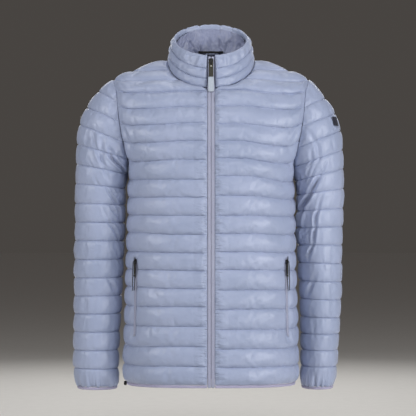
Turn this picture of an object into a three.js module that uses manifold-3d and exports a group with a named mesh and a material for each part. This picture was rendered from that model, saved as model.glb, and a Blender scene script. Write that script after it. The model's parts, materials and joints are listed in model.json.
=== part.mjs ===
// A light puffer jacket in its worn shape, hollow, with its zip closed.
// Millimetres, +Z up, the front faces -Y and the wearer's left is +X.
// The origin is between the two points where the shoulder seams meet the collar.
import * as THREE from "three";
import Module from "manifold-3d";

const { abs, asin, atan2, cos, hypot, max, min, PI, pow, round, sin, sqrt } = Math;
const vec = (x, y, z) => new THREE.Vector3(x, y, z);

// Cloth and seams
const WALL = 2.5; // both layers of cloth with the padding pressed flat at a seam
const SEAM_GAP = 0.3; // between two sewn pieces
const ARMHOLE_GAP = 0.85; // the sleeve's edge turns in here, so it stands further off
const BODY_PUFF = 6.5; // how far a channel stands out between two quilting seams
const SLEEVE_PUFF = 4.5;
const COLLAR_PUFF = 3.2;
const CHANNEL_STEPS = [0, 0.3, 0.7]; // rows in one channel, the first on its seam
const SEAM_PINCH = 0.6; // share of the puff that is left where a seam crosses the channels

// Body
const SIDE_Y = 8; // depth of the side seams and the shoulder seams
const HEM_Z = -680.5;
const HEM_DROP = { side: 5, back: 8, reach: 120 }; // the hem hangs lower away from the front
const HEM_PITCH = 39.8; // height of the channel at the hem
const PITCH_TAPER = 0.25; // each channel above is this much less
const GAUGE_X = 130; // the channels are measured up the front at this distance from the middle
const BODY_SECTIONS = [
  { z: -686, halfWidth: 178, frontY: -129, backY: 134, square: 2.5 },
  { z: -660, halfWidth: 183, frontY: -131, backY: 137, square: 2.5 },
  { z: -603, halfWidth: 181.5, frontY: -131, backY: 135, square: 2.5 },
  { z: -520, halfWidth: 179.5, frontY: -130, backY: 129, square: 2.5 },
  { z: -430, halfWidth: 176.5, frontY: -129, backY: 124, square: 2.5 },
  { z: -330, halfWidth: 174.5, frontY: -131, backY: 128, square: 2.5 },
  { z: -239, halfWidth: 173.5, frontY: -131, backY: 136, square: 2.5 },
  { z: -150, halfWidth: 173.5, frontY: -119, backY: 134, square: 2.4 },
  { z: -100, halfWidth: 173.5, frontY: -101, backY: 124, square: 2.3 },
  { z: -65, halfWidth: 173.5, frontY: -82, backY: 112, square: 2.2 },
  { z: -43, halfWidth: 173.5, frontY: -70, backY: 102, square: 2.15 },
  { z: -20, halfWidth: 173.5, frontY: -60, backY: 86, square: 2.1 },
  { z: 0, halfWidth: 173.5, frontY: -50, backY: 67, square: 2.1 },
];

// Neckline, shoulder and armhole
const NECK = { halfWidth: 92, frontDepth: 90, frontZ: -65, slope: 0.9, extraRows: [-65, -63, -60, -56, -51, -10, -4] };
const NECK_RISE = { back: 5.7, reach: 36 }; // the back's neckline rises to its middle
const TOP_Z = -1; // the last row of the panels, just under the collar's corner
const SHOULDER = { tipX: 208, tipZ: -43, curve: 1.35 };
const ARMHOLE = { bottomZ: -239, depth: 68 };
const UNDERARM = { clear: 11, reach: 30 }; // the sleeve stands this far off the body, that far down
const ARMHOLE_LINE = [
  { z: -239, x: 173.5 },
  { z: -215, x: 175.5 },
  { z: -175, x: 185.5 },
  { z: -140, x: 192 },
  { z: -105, x: 196.5 },
  { z: -70, x: 200 },
  { z: -43, x: 208 },
];

// Columns across a panel, as shares of the way from the middle to the side
const FRONT_COLUMNS = [0, 0.06, 0.22, 0.38, 0.54, 0.6, 0.644, 0.674, 0.73, 0.86, 1];
const POCKET_COLUMNS = [6, 7]; // the pocket's zip lies flat between these two
const BACK_COLUMNS = [0, 0.14, 0.28, 0.43, 0.58, 0.72, 0.86, 1];

// Sleeves. Along is the cloth from the shoulder tip down the outer side. A ring leans so that its
// outer side is higher, and its widths below the armhole are at a quilting seam.
const SLEEVE_COLUMNS = 16;
const SLEEVE_CHANNELS = 16; // below the cap's first seam
const SLEEVES = {
  right: {
    side: -1,
    firstSeam: 40,
    rings: [
      { along: 0, outX: 208, outZ: -43, lean: 40, halfWidth: 60, halfDepth: 68, centreY: 8 },
      { along: 40, outX: 237.5, outZ: -66, lean: 30, halfWidth: 60, halfDepth: 68, centreY: 8 },
      { along: 83, outX: 263.5, outZ: -102, lean: 24.6, halfWidth: 60, halfDepth: 68, centreY: 8 },
      { along: 124, outX: 279, outZ: -138.5, lean: 22.5, halfWidth: 60, halfDepth: 68, centreY: 8 },
      { along: 165, outX: 284.5, outZ: -179, lean: 17, halfWidth: 60, halfDepth: 68, centreY: 8 },
      { along: 207, outX: 286.8, outZ: -221, lean: 11.5, halfWidth: 56, halfDepth: 68, centreY: 8 },
      { along: 249, outX: 288.5, outZ: -262.6, lean: 6, halfWidth: 52.5, halfDepth: 66, centreY: 9 },
      { along: 291, outX: 289, outZ: -304.6, lean: 2.3, halfWidth: 52.3, halfDepth: 64, centreY: 10 },
      { along: 371, outX: 290, outZ: -384, lean: 0, halfWidth: 51.3, halfDepth: 59, centreY: 11 },
      { along: 449, outX: 291, outZ: -463, lean: -1, halfWidth: 50, halfDepth: 56, centreY: 10 },
      { along: 525, outX: 291, outZ: -538, lean: -0.5, halfWidth: 48.3, halfDepth: 53, centreY: 7 },
      { along: 606, outX: 291.5, outZ: -619, lean: 0, halfWidth: 46, halfDepth: 49, centreY: 3 },
      { along: 645, outX: 291, outZ: -657.4, lean: 1, halfWidth: 45.8, halfDepth: 47, centreY: 1 },
      { along: 682, outX: 284.5, outZ: -694, lean: 0, halfWidth: 42, halfDepth: 41, centreY: 0 },
    ],
  },
  left: {
    side: 1,
    firstSeam: 48,
    rings: [
      { along: 0, outX: 208, outZ: -43, lean: 36, halfWidth: 60, halfDepth: 68, centreY: 8 },
      { along: 48, outX: 240, outZ: -79, lean: 24.5, halfWidth: 60, halfDepth: 68, centreY: 8 },
      { along: 88, outX: 262.5, outZ: -113, lean: 22, halfWidth: 60, halfDepth: 68, centreY: 8 },
      { along: 128, outX: 275, outZ: -151, lean: 22, halfWidth: 60, halfDepth: 68, centreY: 8 },
      { along: 167, outX: 279.8, outZ: -190, lean: 20, halfWidth: 59, halfDepth: 68, centreY: 8 },
      { along: 207, outX: 281.6, outZ: -230, lean: 15, halfWidth: 53, halfDepth: 68, centreY: 9 },
      { along: 247, outX: 282.5, outZ: -270, lean: 9, halfWidth: 49.8, halfDepth: 66, centreY: 11 },
      { along: 287, outX: 281.8, outZ: -310, lean: 4.5, halfWidth: 48.6, halfDepth: 64, centreY: 13 },
      { along: 369, outX: 280, outZ: -392, lean: 0, halfWidth: 46.5, halfDepth: 61, centreY: 16 },
      { along: 446, outX: 278.8, outZ: -469, lean: -1.5, halfWidth: 44.3, halfDepth: 60, centreY: 18 },
      { along: 522, outX: 276, outZ: -545, lean: -1.5, halfWidth: 41.2, halfDepth: 57, centreY: 18 },
      { along: 597, outX: 270.5, outZ: -620, lean: 0, halfWidth: 37.8, halfDepth: 54, centreY: 16 },
      { along: 632, outX: 267.8, outZ: -654.5, lean: 0, halfWidth: 36.8, halfDepth: 52, centreY: 15 },
      { along: 672, outX: 261, outZ: -694, lean: 0, halfWidth: 33.2, halfDepth: 46, centreY: 14 },
    ],
  },
};
// The largest creases run down each sleeve's inner front, from the armpit to the elbow.
const CREASES = [
  { sleeve: "right", from: 165, to: 330, turnFrom: 75, turnTo: 128, depth: 4.5 },
  { sleeve: "left", from: 150, to: 300, turnFrom: 95, turnTo: 118, depth: 5 },
  { sleeve: "left", from: 225, to: 400, turnFrom: 70, turnTo: 112, depth: 4 },
];
const CREASE_WIDTH = 16; // degrees round the sleeve
const CUFF_GATHER = 1.6; // the elastic draws the last channel into waves this deep

// Collar, as an oval at the neckline and a leaning oval at its rim
const COLLAR = {
  foot: { halfWidth: 91.2, frontDepth: 89.2, backDepth: 57.5 },
  rim: { halfWidth: 80.5, frontDepth: 90, backDepth: 68 },
  rimFrontZ: 0,
  rimBackZ: 80,
  backZ: 5,
  bulge: 2.5,
  thick: 6.5,
  crown: 3,
  channels: 3,
  columns: 28,
};
const FACING = { gap: 1, wall: 2.2, from: 0.03, to: 0.88, fold: 1.5, columns: 36, rows: 3 };

// Bindings and zips
const BINDING = { height: 6, wall: 3.4, proud: 0.6 };
const TAPE = { inner: 0.2, outer: 7.7, sink: 0.4, wall: 1.4, step: 28 };
const ZIP_HALF = TAPE.outer + SEAM_GAP;
const POCKET = {
  topZ: -421,
  bottomZ: -583,
  halfWidth: 3.1,
  wall: 1,
  slider: { halfWidth: 3.4, above: 5.5, below: 6, pullHalf: 3.2, pullLength: 32 },
};
const MAIN_ZIP = {
  sliderZ: -12,
  slider: { halfWidth: 4.8, above: 8, below: 9, pullHalf: 4.6, pullLength: 31 },
  tab: { halfWidth: 6, length: 31, thick: 1.8 },
};
// The arch over a slider, seen from its side, and the bar and arms of a pull
const ARCH = { plate: 1.2, halfWidth: 1.2, reach: 3, window: 2, sill: 1.3, lintel: 3.7, top: 4.7, axis: 2.5 };
const PULL = { bar: 0.6, armIn: 1.8, start: 5 };
// Each pocket slider carries a cord whose two ends hang on both sides of the pull
const CORD_RADIUS = 0.9;
const POCKET_CORDS = [
  [[-4.6, 0, 3.4], [-5, -14, 4], [-4.9, -32, 4.2], [-3.4, -48, 4.4], [-2.4, -62, 4.6]],
  [[4.6, 0, 3.4], [5, -14, 4], [4.9, -32, 4.2], [3.8, -48, 4.4], [3, -61, 4.6]],
];

// Small pieces
const PATCH = { row: 7, column: 10, inset: 0.08, raised: 0.9, thick: 1 };
const HEM_LOCK = { width: 6, height: 9, depth: 8, gap: 1 };

const radians = (degrees) => (degrees * PI) / 180;
const mix = (a, b, t) => a + (b - a) * t;
const clamp01 = (t) => min(1, max(0, t));
const smooth = (t) => clamp01(t) * clamp01(t) * (3 - 2 * clamp01(t));

// One column of a table at a value of its key, on a smooth curve through the rows
function lookup(table, key, at, column) {
  const last = table.length - 1;
  let i = 0;
  while (i < last - 1 && at > table[i + 1][key]) i++;
  const slope = (j) => {
    const a = table[max(j - 1, 0)];
    const b = table[min(j + 1, last)];
    return (b[column] - a[column]) / (b[key] - a[key]);
  };
  const h = table[i + 1][key] - table[i][key];
  const t = clamp01((at - table[i][key]) / h);
  const start = table[i][column] * (2 * t * t * t - 3 * t * t + 1);
  const end = table[i + 1][column] * (3 * t * t - 2 * t * t * t);
  return start + end + h * (slope(i) * (t * t * t - 2 * t * t + t) + slope(i + 1) * (t * t * t - t * t));
}

// Shape of the body

const armholeMid = (SHOULDER.tipZ + ARMHOLE.bottomZ) / 2;
const armholeHalf = (SHOULDER.tipZ - ARMHOLE.bottomZ) / 2;
const armholeX = (z) => lookup(ARMHOLE_LINE, "z", z, "x");

// How far the armhole's edge is in front of the shoulder seam, or behind it
function armholeDepth(z) {
  return ARMHOLE.depth * sqrt(max(0, 1 - ((z - armholeMid) / armholeHalf) ** 2));
}

// Where a body row ends: at the side seam, the armhole or the shoulder seam
function rowEnd(z) {
  if (z <= ARMHOLE.bottomZ) return { x: lookup(BODY_SECTIONS, "z", z, "halfWidth"), depth: 0 };
  if (z < SHOULDER.tipZ) return { x: armholeX(z), depth: armholeDepth(z) };
  const share = pow(z / SHOULDER.tipZ, 1 / SHOULDER.curve);
  return { x: mix(NECK.halfWidth, SHOULDER.tipX, share), depth: 0 };
}

// Where a body row starts: at the middle, or on the front neckline
function rowStart(z, face) {
  if (face === "back") return { x: 0, depth: lookup(BODY_SECTIONS, "z", z, "backY") - SIDE_Y };
  if (z <= NECK.frontZ) {
    return { x: ZIP_HALF, depth: SIDE_Y - lookup(BODY_SECTIONS, "z", z, "frontY") };
  }
  const forward = pow(z / NECK.frontZ, 1 / NECK.slope);
  return {
    x: max(ZIP_HALF, NECK.halfWidth * sqrt(1 - forward * forward)),
    depth: NECK.frontDepth * forward,
  };
}

// A body row for x above 0, as an arc of a superellipse resampled at shares of its length
function bodyRow(z, face, shares) {
  const n = lookup(BODY_SECTIONS, "z", z, "square");
  const start = rowStart(z, face);
  const end = rowEnd(z);
  const [xs, ds, xe, de] = [start.x, start.depth, end.x, end.depth].map((v) => pow(v, n));
  const det = xe * ds - xs * de;
  const halfWidth = pow((ds - de) / det, -1 / n);
  const depth = pow((xe - xs) / det, -1 / n);
  const turn = (p) => atan2(pow(p.x / halfWidth, n / 2), pow(p.depth / depth, n / 2));
  const [from, to] = [turn(start), turn(end)];
  const samples = 60;
  const line = [];
  for (let i = 0; i <= samples; i++) {
    const t = mix(from, to, i / samples);
    const out = halfWidth * pow(max(0, sin(t)), 2 / n);
    line.push([out, depth * pow(max(0, cos(t)), 2 / n)]);
  }
  const length = [0];
  for (let i = 1; i <= samples; i++) {
    length.push(length[i - 1] + hypot(line[i][0] - line[i - 1][0], line[i][1] - line[i - 1][1]));
  }
  const sign = face === "back" ? 1 : -1;
  return shares.map((share) => {
    const at = share * length[samples];
    let i = 1;
    while (i < samples && length[i] < at) i++;
    const t = (at - length[i - 1]) / (length[i] - length[i - 1]);
    const x = mix(line[i - 1][0], line[i][0], t);
    const away = max(SEAM_GAP / 2, mix(line[i - 1][1], line[i][1], t));
    const drop = face === "back" ? mix(HEM_DROP.back, HEM_DROP.side, share ** 2) : HEM_DROP.side * share ** 2;
    const low = clamp01(1 - (z - HEM_Z) / HEM_DROP.reach) ** 2;
    const high = face === "back" ? smooth(1 - (TOP_Z - z) / NECK_RISE.reach) : 0;
    return vec(x, SIDE_Y + sign * away, z - drop * low + NECK_RISE.back * high * cos((share * PI) / 2));
  });
}

// Heights of the quilting seams: strips of equal cloth measured up the front
function bodySeams() {
  const gauge = (z) => {
    const row = bodyRow(z, "front", [0, 0.25, 0.5, 0.75, 1]);
    let i = 1;
    while (i < row.length - 1 && row[i].x < GAUGE_X) i++;
    const t = clamp01((GAUGE_X - row[i - 1].x) / (row[i].x - row[i - 1].x));
    return mix(row[i - 1].y, row[i].y, t);
  };
  const seams = [HEM_Z];
  const step = 1;
  const highest = -14;
  let pitch = HEM_PITCH;
  let cloth = 0;
  for (let z = HEM_Z; z < highest; z += step) {
    cloth += hypot(step, gauge(z + step) - gauge(z));
    if (cloth >= pitch) {
      seams.push(z + step);
      cloth = 0;
      pitch -= PITCH_TAPER;
    }
  }
  return seams;
}

// Rows of a panel: each channel's steps, with the share of the puff that each has
function channelRows(seams, top) {
  const rows = [];
  const ends = [...seams.slice(1), top];
  seams.forEach((seam, k) => {
    CHANNEL_STEPS.forEach((share) => {
      rows.push({ at: mix(seam, ends[k], share), puff: share > 0 ? 1 : 0, inner: share === 0 });
    });
  });
  rows.push({ at: top, puff: 0, inner: true });
  return rows;
}

// The same rows with more between them, each with its share of the puff
function withExtraRows(rows, extra) {
  const all = [...rows];
  for (const at of extra) {
    const r = rows.findIndex((row) => row.at > at);
    const t = (at - rows[r - 1].at) / (rows[r].at - rows[r - 1].at);
    all.push({ at, puff: mix(rows[r - 1].puff, rows[r].puff, t), inner: false });
  }
  return all.sort((a, b) => a.at - b.at);
}

// Walls from grids of points

// Outward normals of a grid; rows from wrapFrom on are closed rings
function gridNormals(grid, sign, wrapFrom = Infinity) {
  const lastRow = grid.length - 1;
  const lastCol = grid[0].length - 1;
  return grid.map((row, r) =>
    row.map((_, c) => {
      const ring = r >= wrapFrom;
      const left = c > 0 ? row[c - 1] : row[ring ? lastCol - 1 : 0];
      const right = c < lastCol ? row[c + 1] : row[ring ? 1 : lastCol];
      const below = grid[max(r - 1, 0)][c];
      const above = grid[min(r + 1, lastRow)][c];
      const across = right.clone().sub(left);
      const up = above.clone().sub(below);
      return across.cross(up).normalize().multiplyScalar(sign);
    }),
  );
}

// A closed wall: every outer point, inner points only on the rows marked inner
function wall({ outer, inner, isInner, wrapFrom = Infinity }) {
  const lastRow = outer.length - 1;
  const lastCol = outer[0].length - 1;
  const points = [];
  const outerId = [];
  const innerId = [];
  const column = (r, c) => (r >= wrapFrom && c === lastCol ? 0 : c);
  outer.forEach((row, r) => {
    outerId.push([]);
    innerId.push([]);
    row.forEach((p, c) => {
      outerId[r].push(column(r, c) === c ? points.push(p) - 1 : outerId[r][0]);
      if (isInner[r]) innerId[r].push(column(r, c) === c ? points.push(inner[r][c]) - 1 : innerId[r][0]);
    });
  });
  const innerRows = isInner.flatMap((is, r) => (is ? [r] : []));
  const nearestInner = outer.map((_, r) =>
    innerRows.reduce((best, k) => (abs(k - r) < abs(best - r) ? k : best), innerRows[0]),
  );
  const faces = [];
  const quad = (a, b, c, d) => {
    for (const f of [[a, b, c], [a, c, d]]) {
      if (new Set(f).size === 3) faces.push(f);
    }
  };
  for (let r = 0; r < lastRow; r++) {
    for (let c = 0; c < lastCol; c++) {
      quad(outerId[r][c], outerId[r][c + 1], outerId[r + 1][c + 1], outerId[r + 1][c]);
    }
  }
  for (let k = 1; k < innerRows.length; k++) {
    const [a, b] = [innerId[innerRows[k - 1]], innerId[innerRows[k]]];
    for (let c = 0; c < lastCol; c++) quad(a[c + 1], a[c], b[c], b[c + 1]);
  }
  const hem = (r, c, flip) => {
    const [o, i] = [outerId[r], innerId[r]];
    if (flip) quad(o[c], o[c + 1], i[c + 1], i[c]);
    else quad(o[c + 1], o[c], i[c], i[c + 1]);
  };
  for (let c = 0; c < lastCol; c++) {
    hem(0, c, false);
    hem(lastRow, c, true);
  }
  for (let r = 0; r < lastRow; r++) {
    if (r >= wrapFrom) break;
    const [low, high] = [innerId[nearestInner[r]], innerId[nearestInner[r + 1]]];
    quad(outerId[r][0], outerId[r + 1][0], high[0], low[0]);
    quad(outerId[r + 1][lastCol], outerId[r][lastCol], low[lastCol], high[lastCol]);
  }
  return solidGeometry(points, faces);
}

// Geometry from points and triangles, turned so that its faces point out
function solidGeometry(points, faces) {
  let volume = 0;
  for (const [a, b, c] of faces) {
    volume += points[a].dot(points[b].clone().cross(points[c]));
  }
  const index = faces.flatMap(([a, b, c]) => (volume < 0 ? [a, c, b] : [a, b, c]));
  const geometry = new THREE.BufferGeometry();
  geometry.setAttribute("position", new THREE.Float32BufferAttribute(points.flatMap((p) => p.toArray()), 3));
  geometry.setIndex(index);
  return geometry;
}

const mirror = (grid) => grid.map((row) => row.map((p) => vec(-p.x, p.y, p.z)));
const offsetGrid = (grid, normals, distance) =>
  grid.map((row, r) =>
    row.map((p, c) => p.clone().addScaledVector(normals[r][c], distance(r, c))),
  );

// Body panels

const seams = bodySeams();
const bodyRows = channelRows(seams, TOP_Z);
const frontRows = withExtraRows(bodyRows, NECK.extraRows);

// Keeps a panel's point on its own side of the side seam and inside the armhole's edge
function keepInside(p, face) {
  if (face === "front") p.y = min(p.y, SIDE_Y - SEAM_GAP / 2);
  else p.y = max(p.y, SIDE_Y + SEAM_GAP / 2);
  const edge = p.z > ARMHOLE.bottomZ ? armholeX(p.z) : Infinity;
  p.x = Math.sign(p.x) * min(abs(p.x), edge);
}

// Share of the puff near a panel's edges
function edgeFade(share, z, face) {
  const side = z <= ARMHOLE.bottomZ - 22 ? SEAM_PINCH : 0;
  const underarm = clamp01(1 - abs(z - ARMHOLE.bottomZ) / UNDERARM.reach);
  const fromSide = smooth((1 - share) / mix(0.16, 0.3, underarm));
  const fromMiddle = face === "front" ? smooth(share / 0.07) : 1;
  return fromMiddle * mix(side, 1, fromSide);
}

const inPocket = (z) => z < POCKET.topZ + 8 && z > POCKET.bottomZ - 8;

function frontSurface() {
  const base = frontRows.map(({ at }) => bodyRow(at, "front", FRONT_COLUMNS));
  const normals = gridNormals(base, 1);
  const last = FRONT_COLUMNS.length - 1;
  frontRows.forEach(({ at }, r) => {
    if (at <= NECK.frontZ) normals[r][0].setX(0).normalize();
    if (at <= ARMHOLE.bottomZ || at >= SHOULDER.tipZ) normals[r][last].setY(0).normalize();
  });
  const puff = (r, c) => {
    const { at, puff: share } = frontRows[r];
    if (POCKET_COLUMNS.includes(c) && inPocket(at)) return 0;
    return BODY_PUFF * share * edgeFade(FRONT_COLUMNS[c], at, "front");
  };
  const outer = offsetGrid(base, normals, puff);
  const inner = offsetGrid(base, normals, () => -WALL);
  for (const p of [...outer.flat(), ...inner.flat()]) keepInside(p, "front");
  return { outer, inner, normals, isInner: frontRows.map((row) => row.inner) };
}

function backSurface() {
  const shares = [...BACK_COLUMNS.slice(1).reverse().map((s) => -s), ...BACK_COLUMNS];
  const base = bodyRows.map(({ at }) => {
    const half = bodyRow(at, "back", BACK_COLUMNS);
    return [...mirror([half])[0].slice(1).reverse(), ...half];
  });
  const normals = gridNormals(base, -1);
  const last = shares.length - 1;
  bodyRows.forEach(({ at }, r) => {
    if (at > ARMHOLE.bottomZ && at < SHOULDER.tipZ) return;
    normals[r][0].setY(0).normalize();
    normals[r][last].setY(0).normalize();
  });
  const puff = (r, c) => BODY_PUFF * bodyRows[r].puff * edgeFade(abs(shares[c]), bodyRows[r].at, "back");
  const outer = offsetGrid(base, normals, puff);
  const inner = offsetGrid(base, normals, () => -WALL);
  for (const p of [...outer.flat(), ...inner.flat()]) keepInside(p, "back");
  return { outer, inner, isInner: bodyRows.map((row) => row.inner) };
}

// Sleeves

// A ring of a sleeve at a length along it, and where the armhole cuts it
function sleeveRing(sleeve, along) {
  const value = (column) => lookup(sleeve.rings, "along", along, column);
  const lean = radians(value("lean"));
  const out = vec(cos(lean), 0, sin(lean));
  const top = vec(value("outX"), value("centreY"), value("outZ"));
  const above = (z) => (top.x - armholeX(z)) * out.z - (top.z - z) * out.x;
  if (above(ARMHOLE.bottomZ) >= 0) {
    const a = value("halfWidth");
    return { centre: top.clone().addScaledVector(out, -a), out, a, b: value("halfDepth"), end: PI };
  }
  let [low, high] = [ARMHOLE.bottomZ, SHOULDER.tipZ];
  for (let i = 0; i < 40; i++) {
    const z = (low + high) / 2;
    if (above(z) < 0) low = z;
    else high = z;
  }
  const share = (low - armholeMid) / armholeHalf;
  const end = Math.acos(min(1, max(-1, share)));
  const reach = hypot(top.x - armholeX(low), top.z - low);
  const a = reach / (1 - cos(end));
  return { centre: top.clone().addScaledVector(out, -a), out, a, b: ARMHOLE.depth, end };
}

const ringPoint = (ring, turn) =>
  ring.centre
    .clone()
    .addScaledVector(ring.out, ring.a * cos(turn))
    .add(vec(0, -ring.b * sin(turn), 0));

// How far out from the middle a sleeve's point must lie to clear the body
function leastX({ y, z }) {
  if (z > ARMHOLE.bottomZ) return armholeX(z) + ARMHOLE_GAP;
  const section = (column) => lookup(BODY_SECTIONS, "z", z, column);
  const face = y < SIDE_Y ? "frontY" : "backY";
  const share = min(1, abs((y - SIDE_Y) / (section(face) - SIDE_Y)));
  const side = section("halfWidth") * pow(1 - pow(share, section("square")), 1 / section("square"));
  const below = smooth((ARMHOLE.bottomZ - z) / UNDERARM.reach);
  return side + mix(ARMHOLE_GAP, UNDERARM.clear, below);
}

// How much of the puff a crease takes away at a place on a sleeve
function creaseDepth(name, along, turn) {
  return CREASES.filter((crease) => crease.sleeve === name).reduce((sum, crease) => {
    const t = (along - crease.from) / (crease.to - crease.from);
    if (t < 0 || t > 1) return sum;
    const middle = radians(mix(crease.turnFrom, crease.turnTo, t));
    const off = (turn - middle) / radians(CREASE_WIDTH);
    return sum + crease.depth * sin(PI * t) * Math.exp(-off * off);
  }, 0);
}

function sleeveSurface(name) {
  const sleeve = SLEEVES[name];
  const length = sleeve.rings.at(-1).along;
  const pitch = (length - sleeve.firstSeam) / SLEEVE_CHANNELS;
  const sleeveSeams = [0];
  for (let k = 0; k < SLEEVE_CHANNELS; k++) sleeveSeams.push(sleeve.firstSeam + k * pitch);
  const rows = channelRows(sleeveSeams, length);
  // The row nearest the underarm point is moved onto it
  let [low, high] = [0, length];
  for (let i = 0; i < 40; i++) {
    const middle = (low + high) / 2;
    if (sleeveRing(sleeve, middle).end < PI) low = middle;
    else high = middle;
  }
  const underarm = rows.reduce((best, row, r) => (abs(row.at - high) < abs(rows[best].at - high) ? r : best), 0);
  rows[underarm] = { ...rows[underarm], at: high, inner: true };
  const shares = Array.from({ length: SLEEVE_COLUMNS + 1 }, (_, c) => (2 * c) / SLEEVE_COLUMNS - 1);
  const rings = rows.map(({ at }) => sleeveRing(sleeve, at));
  const firstEnd = rings[1].end * 0.75;
  const base = rings.map((ring, r) =>
    shares.map((share) => {
      if (r > 0) return ringPoint(ring, share * ring.end);
      const turn = share * firstEnd;
      const z = armholeMid + armholeHalf * cos(turn);
      return vec(armholeX(z), SIDE_Y - ARMHOLE.depth * sin(turn), z);
    }),
  );
  // The edge is drawn back from the armhole, towards the next point of its row or column
  base.forEach((row, r) => {
    if (r >= underarm) return;
    const last = row.length - 1;
    const draw = (p, q) => p.addScaledVector(q.clone().sub(p).normalize(), ARMHOLE_GAP);
    if (r === 0) row.forEach((p, c) => draw(p, base[1][c]));
    else [[0, 1], [last, last - 1]].forEach(([c, next]) => draw(row[c], row[next]));
  });
  base[underarm].forEach((p) => p.add(vec(0, 0, -ARMHOLE_GAP)));
  for (const p of base.flat()) p.x = max(p.x, leastX(p));
  const normals = gridNormals(base, 1, underarm);
  const puff = (r, c) => {
    const { at, puff: share } = rows[r];
    const turn = shares[c] * rings[r].end;
    const edge = r < underarm ? smooth((1 - abs(shares[c])) / 0.2) : 1;
    const pit = r >= underarm ? mix(1, smooth((at - rows[underarm].at) / 60), smooth((abs(turn) - 1.9) / 1)) : 1;
    const gather = at > length - pitch ? CUFF_GATHER * ((c % 2) - 0.5) * smooth((at - length + pitch) / pitch) : 0;
    return SLEEVE_PUFF * share * edge * pit - creaseDepth(name, at, -turn) * edge + gather;
  };
  const outer = offsetGrid(base, normals, puff);
  const inner = offsetGrid(base, normals, () => -WALL);
  for (const p of [...outer.flat(), ...inner.flat()]) {
    if (p.z > ARMHOLE.bottomZ - UNDERARM.reach) p.x = max(p.x, leastX({ ...p, z: max(p.z, ARMHOLE.bottomZ) }));
  }
  const turned = (grid) => (sleeve.side > 0 ? grid : mirror(grid));
  return {
    outer: turned(outer),
    inner: turned(inner),
    isInner: rows.map((row) => row.inner),
    wrapFrom: underarm,
    cuff: { ring: rings.at(-1), side: sleeve.side },
  };
}

// The elastic binding under a sleeve's last row
function cuffBinding({ ring, side }) {
  const turns = Array.from({ length: SLEEVE_COLUMNS + 1 }, (_, c) => ((2 * c) / SLEEVE_COLUMNS - 1) * PI);
  const at = (out, drop) =>
    turns.map((turn) => {
      const grown = { ...ring, a: ring.a + out, b: ring.b + out };
      return ringPoint(grown, turn).add(vec(0, 0, -drop));
    });
  const band = (out) => [at(out, SEAM_GAP), at(out - 1, SEAM_GAP + BINDING.height)];
  const turned = (grid) => (side > 0 ? grid : mirror(grid));
  return wall({
    outer: turned(band(BINDING.proud)),
    inner: turned(band(BINDING.proud - BINDING.wall)),
    isInner: [true, true],
    wrapFrom: 0,
  });
}

// Collar

// A point on the collar's outer line. Turn is 0 at the back and PI at the front; up runs from 0 to 1.
function collarPoint(turn, up) {
  const { foot, rim } = COLLAR;
  const halfWidth = mix(foot.halfWidth, rim.halfWidth, up) + COLLAR.bulge * sin(PI * up);
  const face = cos(turn) < 0 ? "frontDepth" : "backDepth";
  const depth = mix(foot[face], rim[face], up) + COLLAR.bulge * sin(PI * up);
  const x = halfWidth * sin(turn);
  const forward = -cos(turn);
  const footZ = forward > 0 ? NECK.frontZ * pow(forward, NECK.slope) : -forward * COLLAR.backZ;
  const rimY = SIDE_Y - forward * rim[face];
  const frontY = SIDE_Y - rim.frontDepth;
  const backY = SIDE_Y + rim.backDepth;
  const rimZ = mix(COLLAR.rimFrontZ, COLLAR.rimBackZ, (rimY - frontY) / (backY - frontY));
  return vec(x, SIDE_Y - forward * depth, mix(footZ + SEAM_GAP, rimZ, up));
}

// The collar's rows at the given heights, from the zip's one side round the back to the other
function collarGrid(ups, columns) {
  return ups.map((up) => {
    const halfWidth = mix(COLLAR.foot.halfWidth, COLLAR.rim.halfWidth, up) + COLLAR.bulge * sin(PI * up);
    const end = PI - asin(ZIP_HALF / halfWidth);
    return Array.from({ length: columns + 1 }, (_, c) => collarPoint(mix(-end, end, c / columns), up));
  });
}

function flattenEnds(normals) {
  for (const row of normals) {
    row[0].setX(0).normalize();
    row.at(-1).setX(0).normalize();
  }
  return normals;
}

function collarSolid() {
  const seamsUp = Array.from({ length: COLLAR.channels }, (_, k) => k / COLLAR.channels);
  const rows = channelRows(seamsUp, 1);
  const base = collarGrid(rows.map(({ at }) => at), COLLAR.columns);
  const normals = flattenEnds(gridNormals(base, -1));
  const last = COLLAR.columns;
  const fade = (c) => smooth(min(c, last - c) / 1.2);
  const low = (r) => (r === 1 ? 0.4 : 1);
  const outer = offsetGrid(base, normals, (r, c) => COLLAR_PUFF * rows[r].puff * fade(c) * low(r));
  const inner = offsetGrid(base, normals, () => -COLLAR.thick);
  const crown = base.at(-1).map((p, c) =>
    p.clone().addScaledVector(normals.at(-1)[c], -COLLAR.thick / 2).add(vec(0, 0, COLLAR.crown)),
  );
  outer.push(crown);
  inner.push(inner.at(-1).map((p) => p.clone().add(vec(0, 0, 1))));
  return wall({ outer, inner, isInner: [...rows.map((row) => row.inner), true] });
}

// The cloth that faces the neck, with the soft upright folds that show inside the collar
function facingSolid() {
  const ups = Array.from({ length: FACING.rows + 1 }, (_, r) => mix(FACING.from, FACING.to, r / FACING.rows));
  const base = collarGrid(ups, FACING.columns);
  const normals = flattenEnds(gridNormals(base, -1));
  const near = COLLAR.thick + FACING.gap;
  const fold = (r, c) => {
    const wave = abs(sin(c * 0.9) * sin(c * 0.37 + 1));
    return c > 1 && c < FACING.columns - 1 ? FACING.fold * wave * smooth(r) : 0;
  };
  const outer = offsetGrid(base, normals, () => -near);
  const inner = offsetGrid(base, normals, (r, c) => -near - FACING.wall - fold(r, c));
  return wall({ outer, inner, isInner: ups.map(() => true) });
}

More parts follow.
